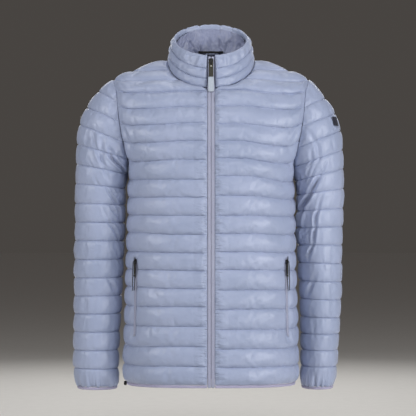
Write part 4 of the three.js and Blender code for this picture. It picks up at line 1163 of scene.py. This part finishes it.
# Folds of a sleeve: depth, width in degrees, then places along it and degrees round it (90 is its front)
SLEEVE_FOLDS = {
    "right": [
        (3.4, 4.5, [(124, 78), (183, 85), (214, 101), (240, 115)]),
        (2.2, 4.0, [(128, 60), (160, 70), (190, 88)]),
        (7.5, 5.5, [(150, 96), (178, 106), (195, 131), (206, 160)]),
        (5.5, 3.6, [(245, 106), (260, 111), (291, 131), (325, 148)]),
        (5.0, 3.6, [(250, 116), (264, 123), (280, 141), (300, 162)]),
        (4.0, 3.2, [(256, 130), (272, 142), (286, 156)]),
        (5.5, 3.6, [(292, 114), (303, 122), (329, 146), (345, 158)]),
        (2.4, 3.2, [(296, 97), (312, 105), (335, 117)]),
        (4.2, 3.2, [(322, 124), (333, 130), (352, 150)]),
        (5.0, 3.6, [(330, 112), (346, 125), (378, 148), (394, 158)]),
        (3.0, 3.6, [(382, 128), (400, 140), (424, 154)]),
        (1.8, 3.0, [(228, 77), (238, 83), (252, 93)]),
        (1.6, 3.0, [(196, 66), (205, 72), (214, 80)]),
        (2.0, 6.0, [(440, 112), (470, 130), (500, 150)]),
    ],
    "left": [
        (3.6, 4.0, [(96, 92), (140, 84), (169, 87), (186, 99), (207, 112), (228, 122)]),
        (2.6, 3.6, [(140, 96), (170, 103), (200, 118), (215, 130)]),
        (2.6, 3.4, [(180, 72), (198, 82), (212, 92)]),
        (9.5, 6.6, [(198, 88), (224, 101), (243, 114), (262, 124), (286, 143), (329, 156), (372, 168)]),
        (4.8, 4.0, [(256, 88), (267, 93), (290, 99), (309, 105), (332, 106), (365, 111), (410, 128)]),
        (3.2, 3.6, [(334, 120), (345, 130), (366, 155)]),
        (3.2, 3.6, [(378, 112), (392, 124), (408, 146)]),
        (3.4, 4.0, [(196, 140), (222, 148), (246, 160)]),
        (2.0, 6.0, [(430, 104), (462, 120), (492, 140)]),
    ],
}
FOLD_GAIN = 1.45
SLEEVE_COLUMNS = ((0, 0.43, 0.95, 1), (-1, 0.33, 0.95, 1))  # share of the columns, share of the turn
# How far down each sleeve's quilting seams lie from their even places
SLEEVE_SHIFTS = {
    "right": [
        (0, 0), (40, 3), (120, 4), (200, 8), (300, 12), (400, 11), (500, 7), (560, 4), (640, 1),
        (682, 0),
    ],
    "left": [
        (0, 0), (48, 5), (120, 3), (200, 5), (280, 11), (440, 12), (520, 10), (560, 5), (600, 0),
        (640, -4), (672, 0),
    ],
}


def sleeve_ring(sleeve, along):
    """A ring of a sleeve: centre, outward direction, half sizes and where the armhole cuts it."""
    value = {k: lookup(sleeve["rings"], "along", along, k) for k in RING.split()[1:]}
    lean = math.radians(value["lean"])
    out = np.array([math.cos(lean), 0, math.sin(lean)])
    top = np.array([value["out_x"], value["centre_y"], value["out_z"]])

    def above(z):
        return (top[0] - armhole_x(z)) * out[2] - (top[2] - z) * out[0]

    if above(PIT_Z) >= 0:
        a = value["half_width"]
        return top - out * a, out, a, value["half_depth"], math.pi
    low, high = PIT_Z, TIP_Z
    for _ in range(HALVINGS):
        z = (low + high) / 2
        low, high = (z, high) if above(z) < 0 else (low, z)
    end = math.acos(float(np.clip((low - PIT_MID) / PIT_HALF, -1, 1)))
    a = math.hypot(top[0] - armhole_x(low), top[2] - low) / (1 - math.cos(end))
    return top - out * a, out, a, ARMHOLE_DEPTH, end


def ring_points(ring, turns, grow=0.0):
    centre, out, a, b, _ = ring
    points = centre + np.outer(np.cos(turns) * (a + grow), out)
    points[:, 1] -= (b + grow) * np.sin(turns)
    return points


def least_x(p):
    """How far out from the middle a sleeve's point must lie to clear the body."""
    _, y, z = p
    if z > PIT_Z:
        return armhole_x(z) + EDGE_GAP
    depth = section(z, "front_y" if y < SIDE_Y else "back_y") - SIDE_Y
    n = section(z, "square")
    share = min(1, abs((y - SIDE_Y) / depth))
    side = section(z, "half_width") * (1 - share**n) ** (1 / n)
    return side + mix(EDGE_GAP, UNDERARM["clear"], smooth((PIT_Z - z) / UNDERARM["reach"]))


def sleeve_folds(name, along, turns):
    """The folds of a sleeve at one place along it."""
    total = np.zeros_like(turns)
    for depth, width, line in SLEEVE_FOLDS[name]:
        places, middles = np.array(line, float).T
        t = (along - places[0]) / (places[-1] - places[0])
        if 0 < t < 1:
            off = (np.degrees(turns) - np.interp(along, places, middles)) / width
            total += depth * math.sin(math.pi * t) ** 0.6 * fold_line(off)
    return total * FOLD_GAIN


def first_whole_ring(sleeve, length):
    """How far along a sleeve its rings are first whole, just under the arm."""
    low, high = 0, length
    for _ in range(HALVINGS):
        middle = (low + high) / 2
        low, high = (middle, high) if sleeve_ring(sleeve, middle)[4] < math.pi else (low, middle)
    return high


def sleeve_base(rings, shares):
    """The sleeve's surface. Its first row lies on the armhole's edge."""
    turns = shares * rings[1][4] * 0.75
    heights = PIT_MID + PIT_HALF * np.cos(turns)
    edge = [[armhole_x(z) for z in heights], SIDE_Y - ARMHOLE_DEPTH * np.sin(turns), heights]
    base = np.array([np.stack(edge, 1), *[ring_points(ring, shares * ring[4]) for ring in rings[1:]]])
    for p in base.reshape(-1, 3):
        p[0] = max(p[0], least_x(p))
    return base


def sleeve_rows(name, length, pitch):
    """A sleeve's rows, with one of them where the rings are first whole, and that row's number."""
    sleeve = SLEEVES[name]
    even = sleeve["first_seam"] + np.arange(SLEEVE_CHANNELS) * pitch
    rows = Rows([0, *(even + np.interp(even, *np.array(SLEEVE_SHIFTS[name], float).T))], length)
    whole = first_whole_ring(sleeve, length)
    pit = min(range(len(rows.at)), key=lambda r: abs(rows.at[r] - whole) + (5 if rows.share[r] == 0 else 0))
    rows.at[pit] = whole
    return rows, pit


def sleeve_panel(name):
    sleeve = SLEEVES[name]
    side = sleeve["side"]
    length = sleeve["rings"]["along"][-1]
    pitch = (length - sleeve["first_seam"]) / SLEEVE_CHANNELS
    rows, pit = sleeve_rows(name, length, pitch)
    shares = np.interp(np.linspace(0, 1, COLUMNS["sleeve"]), *SLEEVE_COLUMNS)
    rings = [sleeve_ring(sleeve, at) for at in rows.at]
    base = sleeve_base(rings, shares)
    normals = grid_normals(base, 1, pit)
    turns = shares * np.array([ring[4] for ring in rings])[:, None]
    around = math.pi - np.abs(turns)
    open_rows = (np.arange(len(rows.at)) < pit)[:, None]
    edge = np.where(open_rows, smooth((1 - np.abs(shares)) / 0.1), 1)
    under = np.where(open_rows, 1, smooth((rows.at[:, None] - rows.at[pit]) / SLEEVE["under_reach"]))
    under = mix(1, under, smooth(np.abs(turns) - SLEEVE["under_turn"]))
    run = turns * SLEEVE["radius"]
    along = np.broadcast_to(rows.at[:, None], run.shape)
    pillow = rows.pillow()[:, None]
    fuller = 1 + uneven("sleeve", run, along, 61 + side) * smooth(around / 0.3)
    puff = SLEEVE_PUFF * pillow * edge * under * fuller
    pinned = sewn_rows(puff, rows, pit)
    pinned[pit] |= np.abs(shares) > SLEEVE["sewn_share"]
    turn = np.array([side, 1, 1])
    base, normals = base * turn, normals * turn
    panel = Panel(f"sleeve_{name}_panel", f"sleeve_{name}", base, normals, rows, puff, pinned, side < 0, pit)
    free = pillow * edge
    folds = np.array([sleeve_folds(name, at, t) for at, t in zip(rows.at, turns)]) * edge
    armhole = ARMHOLE_WRINKLE["depth"] * wander(run, ARMHOLE_WRINKLE["size"], 71 + side)
    armhole = armhole * np.exp(-along / ARMHOLE_WRINKLE["reach"])
    last = smooth((along - (length - pitch)) / pitch) ** 1.4
    gather = last * gathers(turns * CUFF_RADIUS, **CUFF_GATHER, seed=81 + side)
    folds = folds * np.maximum(pillow, SLEEVE["least_fold"])
    pressed = free * armhole + folds + free**0.3 * rows.puckers(run, 91) + gather
    panel.wrinkles = pressed * smooth(around / 0.15)
    panel.cuff, panel.side = rings[-1], side
    return panel


# Collar

FOOT = {"half_width": 91.2, "front": 89.2, "back": 57.5, "back_z": 5}
RIM = {"half_width": 80.5, "front": 90, "back": 68, "front_z": 0, "back_z": 80}
COLLAR = {"bulge": 0.8, "thick": 6.5, "crown": 3.4, "height": 70}
RIM_ROLL = np.radians([25, 50, 75, 100, 125, 150])
RIM_NOTCHES = [-55.6, -25.1, 20.9, 48]  # where the rim is gathered, across the back


def rim_notches(across, points, width):
    """1 at the notches in the back of the rim, 0 away from them."""
    near = sum(np.exp(-(((across - x) / width) ** 2)) for x in RIM_NOTCHES)
    return near * (points[..., 1] > SIDE_Y)


def collar_point(turn, up):
    """A point on the collar's outer line. Turn is 0 at the back and pi at the front."""
    face = "front" if math.cos(turn) < 0 else "back"
    swell = COLLAR["bulge"] * math.sin(math.pi * min(up, 1))
    x = (mix(FOOT["half_width"], RIM["half_width"], up) + swell) * math.sin(turn)
    forward = -math.cos(turn)
    depth = mix(FOOT[face], RIM[face], up) + swell
    foot_z = NECK["front_z"] * forward ** NECK["slope"] if forward > 0 else -forward * FOOT["back_z"]
    rim_share = (RIM["front"] - forward * RIM[face]) / (RIM["front"] + RIM["back"])
    rim_z = mix(RIM["front_z"], RIM["back_z"], rim_share)
    return np.array([x, SIDE_Y - forward * depth, mix(foot_z + SEAM_GAP, rim_z, up)])


def collar_grid(ups, columns):
    rows = []
    for up in ups:
        end = math.pi - math.asin(ZIP_HALF / mix(FOOT["half_width"], RIM["half_width"], up))
        rows.append([collar_point(t, up) for t in np.linspace(-end, end, columns + 1)])
    return np.array(rows)


class Collar(Panel):
    """The collar rolls over its rim and comes down inside."""

    def close(self):
        self.take_shape()
        top = self.grid[-1]
        notch = rim_notches(top[:, 0], top, 2.2)
        inside = []
        for r in range(len(self.rows.at) - 1, -1, -1):
            drawn_in = 1.6 * notch * smooth((self.rows.at[r] - 0.75) / 0.2)
            inside.append(self.base[r] - self.normals[r] * (self.wall - drawn_in)[:, None])
        sections = np.concatenate([self.grid, self.roll(top, notch), inside])
        rows, columns = sections.shape[:2]
        body, ids = grid_quads(rows, columns, flip=True)
        foot = np.stack([ids[0, :-1], ids[-1, :-1], ids[-1, 1:], ids[0, 1:]], -1)[:, ::-1].tolist()
        faces = body.reshape(-1, 4).tolist() + foot + self.end_caps(ids)
        piece = link_mesh(self.name, sections, faces, [SHELL], slot="shell", replaces=[self.node])
        self.pad(piece, np.arange(rows * columns) // columns)

    def roll(self, top, notch):
        """Rows of points over the rim, from the outer cloth to the inside."""
        out = unit(self.out[-1] * [1, 1, 0])
        middle = (top + self.base[-1] - self.normals[-1] * self.wall) / 2
        swell = (1 + 0.22 * wander(run_of(top), 7, 3)) * (1 - 0.75 * notch)
        rows = []
        for turn in RIM_ROLL:
            aside = out * (math.cos(turn) * self.wall / 2 * (1 - 0.3 * notch))[:, None]
            rows.append(middle + aside + np.outer(math.sin(turn) * COLLAR["crown"] * swell, [0, 0, 1]))
        return rows

    def end_caps(self, ids):
        """Faces that close the collar's two front ends."""
        caps = []
        rows = len(ids)
        for column, flip in ((0, False), (-1, True)):
            for i in range(rows // 2 - 1):
                quad = [ids[k, column] for k in (i, i + 1, rows - 2 - i, rows - 1 - i)]
                caps.append([int(v) for v in (quad if flip else quad[::-1])])
        return caps


def collar_panel():
    rows = Rows([0, 1 / 3, 2 / 3], 1)
    base = collar_grid(rows.at, COLUMNS["collar"])
    in_front = clamp01((SIDE_Y - base[..., 1]) / RIM["front"])
    taper = smooth(rows.at / 0.3) * smooth((1 - rows.at) / 0.3)
    base = moved_rows(base, rows.at, taper[:, None] * mix(0.03, -0.055, in_front**2))
    normals = grid_normals(base, -1)
    normals[:, [0, -1], 0] = 0
    normals = unit(normals)
    run = run_of(base)
    rows.pitch = rows.pitch * COLLAR["height"]
    to_zip = np.minimum(run, run[:, -1:] - run)
    ends = smooth(to_zip / 6)
    low = np.where(rows.at < 1 / 3, 0.7, 1)[:, None]
    up = rows.at[:, None] * 50
    pillow = rows.pillow()[:, None]
    puff = COLLAR_PUFF * pillow * ends * low * (1 + uneven("collar", run, up, 5))
    pinned = sewn_rows(puff, rows)
    panel = Collar("collar_panel", "collar", base, normals, rows, puff, pinned, True, None, COLLAR["thick"])
    free = pillow * ends
    upper = smooth((rows.at - 0.62) / 0.12)[:, None]
    crumple = 3.2 * field(run + 30 * rows.at[:, None], up, (7, 12), 6)
    crumple = crumple * mix(0.12, 1, upper * smooth((in_front - 0.25) / 0.4))
    beside_zip = edge_wrinkles(up + 0 * run, to_zip, 17, ZIP_WRINKLES)
    panel.wrinkles = free * (crumple + beside_zip) + 0.3 * free**0.3 * rows.puckers(run, 7)
    return panel


BODY_SEAMS = body_seams()
fronts = {side: front_panel(side) for side in (1, -1)}
back_panel()
sleeves = {name: sleeve_panel(name) for name in SLEEVES}
collar_panel()
blow_up()
for panel in panels:
    panel.close()
    sewing = panel.name.replace("_panel", "_quilting_stitches")
    stitches(sewing, panel.seam_lines(), [THREAD], QUILTING_STITCH, slot="shell")

# Collar's inside

# Gathers inside the collar's back: from and to in x and z, depth and width
FACING_FOLDS = [
    ((-65, 58), (-40, 26), 4.5, 2.6),
    ((-30, 48), (-25, 12), 5.0, 2.4),
    ((18, 50), (29, 16), 5.0, 2.6),
    ((42, 46), (34, 18), 4.0, 2.2),
    ((-52, 30), (-30, 14), 3.5, 2.6),
    ((-8, 52), (6, 26), 3.0, 4.0),
    ((52, 56), (44, 26), 3.0, 3.0),
]


FACING_UPS = np.linspace(0.03, 0.9, 24)
FACING_DEPTH = {"plain": 2.2, "fold": 4.0, "crease": 3.8, "crumple": 1.6, "notch": 3.2, "drawn": 1.6}
FACING_GAP = 1.5


def make_facing():
    """The plain cloth inside the collar, drawn into upright folds."""
    ups = FACING_UPS
    base = collar_grid(ups, COLUMNS["facing"])
    normals = grid_normals(base, -1)
    run = run_of(base)
    run = run - run[:, -1:] / 2
    rise = ups[:, None]
    slanted = run + 16 * rise * wander(run, 40, 5)
    fold = (1 - clamp01(np.abs(wander(slanted, 15, 8)) * 2.2)) ** 1.3
    tilted = run - 34 * rise
    crease = (1 - clamp01(np.abs(field(tilted, rise * 60, (15, 24), 9)) * 2.4)) ** 1.5
    crumple = field(slanted, rise * 80, (16, 26), 10)
    edge = smooth(np.minimum(run - run[:, :1], run[:, -1:] - run) / 14)
    across = base[..., 0] + (1 - rise) * np.sign(base[..., 0]) * 6
    layers = {
        "plain": 1,
        "fold": fold,
        "crease": crease,
        "crumple": crumple,
        "notch": -rim_notches(across, base, 1.8) * smooth((rise - 0.4) / 0.25),
        "drawn": straight_folds(base, FACING_FOLDS) * (base[..., 1] > SIDE_Y),
    }
    depth = sum(FACING_DEPTH[name] * layer for name, layer in layers.items())
    depth = edge * depth * mix(0.7, 1, smooth((1 - rise) * 1.6))
    points = base - normals * (COLLAR["thick"] + FACING_GAP + depth)[..., None]
    faces = grid_quads(*run.shape)[0].reshape(-1, 4).tolist()
    place = {"slot": "facing", "replaces": ["collar_facing"]}
    piece = link_mesh("collar_facing_cloth", points, faces, [FACING], **place)
    thicken(piece, CLOTH_THICKNESS["facing"])
    subdivide(piece)


LOOP = {"half_width": 28, "height": 5, "wall": 2.0, "droop": 5, "stand": 9, "up": 0.3, "near": 11.5}
LOOP_TACKS = {"ends": (1, 39), "lifts": np.linspace(-2, 2, 8), "half_width": 2.4, "forward": 1.4}


def make_loop():
    """The black tape loop that hangs the jacket up, with a bar tack at each end."""
    t = np.linspace(-1, 1, 41)
    turns = np.arcsin(t * LOOP["half_width"] / FOOT["half_width"])
    line = np.array([collar_point(turn, LOOP["up"]) for turn in turns])
    away = 1 - t**4
    line[:, 1] -= LOOP["near"] + LOOP["stand"] * away
    line[:, 2] -= LOOP["droop"] + 2 * away
    low = np.zeros(len(t))
    directions = same((0, 0, 1), len(t)), same((0, -1, 0), len(t))
    rings = ribbon_rings(line, *directions, LOOP["height"] / 2, low, low + LOOP["wall"], FOLDED)
    state = {"flat": (0.01, 0.064), "held": "folded", "rests_on": ["collar_facing_cloth"]}
    ribbon("hanger_loop_tape", rings, BLACK_CLOTH, "cord", "neck_loop", **state)
    tacks = []
    for i in LOOP_TACKS["ends"]:
        for lift in LOOP_TACKS["lifts"]:
            centre = line[i] + [0, -LOOP_TACKS["forward"], lift]
            tacks.append(tack(centre, (1, 0, 0), (0, -1, 0), LOOP_TACKS["half_width"]))
    stitches("hanger_loop_tacks", tacks, [BLACK_CLOTH], LOOP_TACK, slot="cord")


# Bindings

BAND = {"height": 6, "wall": 3.4, "proud": 0.6, "seam": 1.6}


def binding(name, line, outward, node, closed):
    """An elastic binding with its fine gathers, and the stitches near its upper edge."""
    run = run_of(line)
    ripple = 0.22 * np.sin(run * 1.9 + 2 * wander(run, 9, 4)) + 0.15 * wander(run, 4, 5)
    up = same((0, 0, 1), len(line))
    low = np.full(len(line), BAND["proud"] - BAND["wall"])
    high = BAND["proud"] + ripple - 0.2
    rings = ribbon_rings(line, up, outward, BAND["height"] / 2, low, high)
    flat = (0.01, round(float(run[-1]) * MM, 3))
    ribbon(name, rings, BINDING, "binding", node, flat, "stretched", closed)
    seam = line + up * BAND["seam"] + outward * (BAND["proud"] + 0.05)
    stitches(name + "_stitches", [(seam, outward)], [THREAD], BINDING_STITCH, slot="binding")


def make_hem():
    front = body_row(HEM_Z, "front", np.linspace(0, 1, 100))
    behind = body_row(HEM_Z, "back", np.linspace(1, -1, 200))
    line = np.concatenate([front, behind[1:-1], (front * [-1, 1, 1])[::-1]])
    line[:, 2] -= SEAM_GAP + BAND["height"] / 2
    ahead = unit(np.gradient(line, axis=0) * [1, 1, 0])
    outward = np.stack([ahead[:, 1], -ahead[:, 0], np.zeros(len(line))], 1)
    outward *= 1 if outward[0, 1] < 0 else -1
    outward[[0, -1]] = (0, -1, 0)
    binding("hem_binding_band", line, outward, "hem_binding", False)


def make_cuff(name):
    panel = sleeves[name]
    turns = np.linspace(-math.pi, math.pi, 121)[:-1]
    line = ring_points(panel.cuff, turns)
    line[:, 2] -= SEAM_GAP + BAND["height"] / 2
    centre = line.mean(0)
    outward = unit((line - centre) * [1, 1, 0])
    turn = np.array([panel.side, 1, 1])
    binding(f"cuff_{name}_band", line * turn, outward * turn, f"cuff_binding_{name}", True)


# Zips

TAPE_BAND = {"inner": 0.25, "outer": 7.7, "sink": 0.4, "wall": 1.4, "crown": 0.5, "narrower": 1.3}
TAPE_SEAM = 1.3  # from the tape's outer edge
COIL = {"pitch": 1.5, "aside": 0.35, "sink": 0.25, "start": 2, "end": 22, "tooth": (2.4, 1.2, 0.45)}
POCKET_COIL = {"step": 0.4, "rise": 1.5, "tooth": (2, 0.8, 0.35)}
POCKET_SEAM = {"aside": 1.3, "rise": 0.3}
TACK_LINES = {"pitch": 0.48, "rise": 1.6, "half_width": 3.4}
# Bar tacks at the pockets' ends: row of the opening, half height, thread and slot
POCKET_TACKS = {"lower": (0, 1.2, PALE_THREAD, "shell"), "upper": (-1, 3.4, BLACK_CLOTH, "cord")}


def zip_line():
    """Depth and height of the front edge, from the hem up to the collar's rim."""
    bottom = HEM_Z - SEAM_GAP - BAND["height"]
    heights = np.arange(bottom, NECK["front_z"] - 2, 4.0)
    low = [(0, section(z, "front_y"), z) for z in heights]
    turn = math.pi - math.asin(ZIP_HALF / FOOT["half_width"])
    high = [collar_point(turn, up) * [0, 1, 1] for up in np.linspace(0, 1, 16)]
    return np.array([*low, *high])


def make_main_zip():
    line = zip_line()
    ahead = unit(np.gradient(line, axis=0))
    out = np.stack([np.zeros(len(line)), -ahead[:, 2], ahead[:, 1]], 1)
    outer = TAPE_BAND["outer"] - TAPE_BAND["narrower"] * smooth((line[:, 2] + 62) / 12)
    middle = (TAPE_BAND["inner"] + outer[:, None]) / 2
    half = (outer - TAPE_BAND["inner"]) / 2
    run = run_of(line)
    low = np.full(len(line), -TAPE_BAND["sink"] - TAPE_BAND["wall"])
    for name, side in (("left", 1), ("right", -1)):
        across = same((side, 0, 0), len(line))
        high = -TAPE_BAND["sink"] + TAPE_BAND["crown"] + 0.12 * wander(run, 14, 6 + side)
        rings = ribbon_rings(line + across * middle, across, out, half, low, high)
        flat = (0.0105, round(float(run[-1]) * MM, 3))
        ribbon(f"zip_tape_{name}_band", rings, TAPE, "tape", f"zip_tape_{name}", flat, "stretched")
        rise = TAPE_BAND["crown"] - TAPE_BAND["sink"] - 0.05
        edge = line + across * (outer[:, None] - TAPE_SEAM) + out * rise
        stitches(f"zip_tape_{name}_stitches", [(edge, out)], [THREAD], TAPE_STITCH, slot="tape")
    at = np.arange(COIL["start"], run[-1] - COIL["end"], COIL["pitch"])
    outward = unit(points_at(at, run, out))
    aside = np.where(np.arange(len(at)) % 2, 1.0, -1.0)[:, None] * [COIL["aside"], 0, 0]
    centres = points_at(at, run, line) + aside - outward * COIL["sink"]
    lumps("zip_coil_teeth", centres, same((1, 0, 0), len(at)), outward, COIL["tooth"], [TEETH], slot="tape")


def pocket_line(panel, heights):
    """Middle, sideways and outward directions along a front's flat pocket strip."""
    a, b = panel.pocket_columns[[0, -1]]
    level = panel.grid[:, a, 2]
    p, q = (points_at(heights, level, panel.grid[:, c]) for c in (a, b))
    n, m = (points_at(heights, level, panel.normals[:, c]) for c in (a, b))
    return (p + q) / 2, unit(q - p), unit(n + m)


def make_pocket(side):
    panel = fronts[side]
    name = "left" if side > 0 else "right"
    heights = np.linspace(POCKET["bottom"], POCKET["top"], 50)
    line, across, out = pocket_line(panel, heights)
    flat = np.zeros(len(line))
    rings = ribbon_rings(line, across, out, POCKET["half_width"], flat + 0.2, flat + 1.5)
    flat = (0.01, 0.162)
    ribbon(f"pocket_{name}_zip_tape", rings, TAPE, "tape", f"pocket_zip_{name}", flat, "stretched")
    at = np.arange(0, len(line) - 1, POCKET_COIL["step"])
    middle, aside, up = (points_at(at, np.arange(len(line)), v) for v in (line, across, out))
    teeth = (middle + up * POCKET_COIL["rise"], unit(aside), unit(up), POCKET_COIL["tooth"])
    lumps(f"pocket_{name}_teeth", *teeth, [THREAD], slot="tape")
    aside = across * (POCKET["half_width"] + POCKET_SEAM["aside"])
    edges = [(line + aside * s + out * POCKET_SEAM["rise"], out) for s in (-1, 1)]
    stitches(f"pocket_{name}_stitches", edges, [THREAD], POCKET_STITCH, slot="shell")
    for end, (i, reach, thread, slot) in POCKET_TACKS.items():
        foot = line[i] + out[i] * TACK_LINES["rise"]
        lifts = np.arange(-reach, reach + 0.1, TACK_LINES["pitch"])
        places = [foot + np.array([0, 0, lift]) for lift in lifts]
        tacks = [tack(centre, across[i], out[i], TACK_LINES["half_width"]) for centre in places]
        stitches(f"pocket_{name}_{end}_tack", tacks, [thread], POCKET_TACK, slot=slot)


# Patch

PATCH = {"half_wide": 8.5, "half_high": 9.5, "columns": 25, "lift": 0.7, "bow": 0.01575, "edge": 0.985}
PATCH_WHIPPING = (1.7, 0.75, 0.3)


def patch_frame(panel):
    """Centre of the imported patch, and the sleeve's across, up and outward directions there."""
    low, high = (np.array(v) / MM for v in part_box("sleeve_patch"))
    centre = (low + high) / 2
    distance = np.linalg.norm(panel.grid - centre, axis=2)
    r, c = np.unravel_index(np.argmin(distance), distance.shape)
    out = panel.normals[r, c]
    across = unit(np.cross(panel.grid[r - 3, c] - panel.grid[r + 3, c], out))
    return centre, across, np.cross(out, across), out


def make_patch():
    """A plain woven patch on the left sleeve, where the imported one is, with a whipped border."""
    centre, across, up, out = patch_frame(sleeves["left"])
    count = PATCH["columns"]
    u, v = np.meshgrid(np.linspace(-1, 1, count), np.linspace(-1, 1, count))
    u, v = u * (1 - 0.02 * v**4), v * (1 - 0.02 * u**4)
    u, v = u * PATCH["half_wide"], v * PATCH["half_high"]
    lift = PATCH["lift"] - PATCH["bow"] * u**2
    points = centre + u[..., None] * across + v[..., None] * up + lift[..., None] * out
    faces = grid_quads(count, count, flip=True)[0].reshape(-1, 4).tolist()
    place = {"slot": "patch", "replaces": ["sleeve_patch"]}
    piece = link_mesh("sleeve_patch_weave", points, faces, [PATCH_CLOTH], **place)
    thicken(piece, CLOTH_THICKNESS["patch"])
    start = centre + out * 0.3
    edge = np.concatenate([points[0], points[:, -1], points[-1, ::-1], points[::-1, 0]])
    rim = mix(start, edge, PATCH["edge"])
    border = (rim + out * 0.55, unit(start - rim), same(out, len(rim)), PATCH_WHIPPING)
    lumps("sleeve_patch_border", *border, [PATCH_CLOTH], slot="patch")


make_facing()
make_loop()
make_hem()
for name in SLEEVES:
    make_cuff(name)
make_main_zip()
for side in (1, -1):
    make_pocket(side)
make_patch()

# Floor

FLOOR = {"z": -900, "radii": (600, 1600, 4000, 9000, 18000), "sides": 72, "glow": 0.017}


def make_floor():
    """A plain pale floor, round and flat, that every view looks across."""
    turns = np.linspace(0, 2 * math.pi, FLOOR["sides"], endpoint=False)
    rings = [[(r * math.cos(t), r * math.sin(t), FLOOR["z"]) for t in turns] for r in FLOOR["radii"]]
    points = [(0, 0, FLOOR["z"]), *[p for ring in rings for p in ring]]
    n = FLOOR["sides"]
    faces = [[0, 1 + i, 1 + (i + 1) % n] for i in range(n)]
    for k in range(len(rings) - 1):
        low, high = 1 + k * n, 1 + (k + 1) * n
        faces += [[low + i, high + i, high + (i + 1) % n, low + (i + 1) % n] for i in range(n)]
    look = Look("pale_floor", srgb(224, 222, 218), 0.85)
    look.set(look.shader, {"Emission Color": (1, 0.95, 0.96, 1), "Emission Strength": FLOOR["glow"]})
    grain = look.noise(30.0)
    look.colours(grain, "Fac", 0.3, 0.7, srgb(222, 220, 216), srgb(226, 224, 220))
    link_mesh("floor", points, faces, [look.material], body=None)


make_floor()
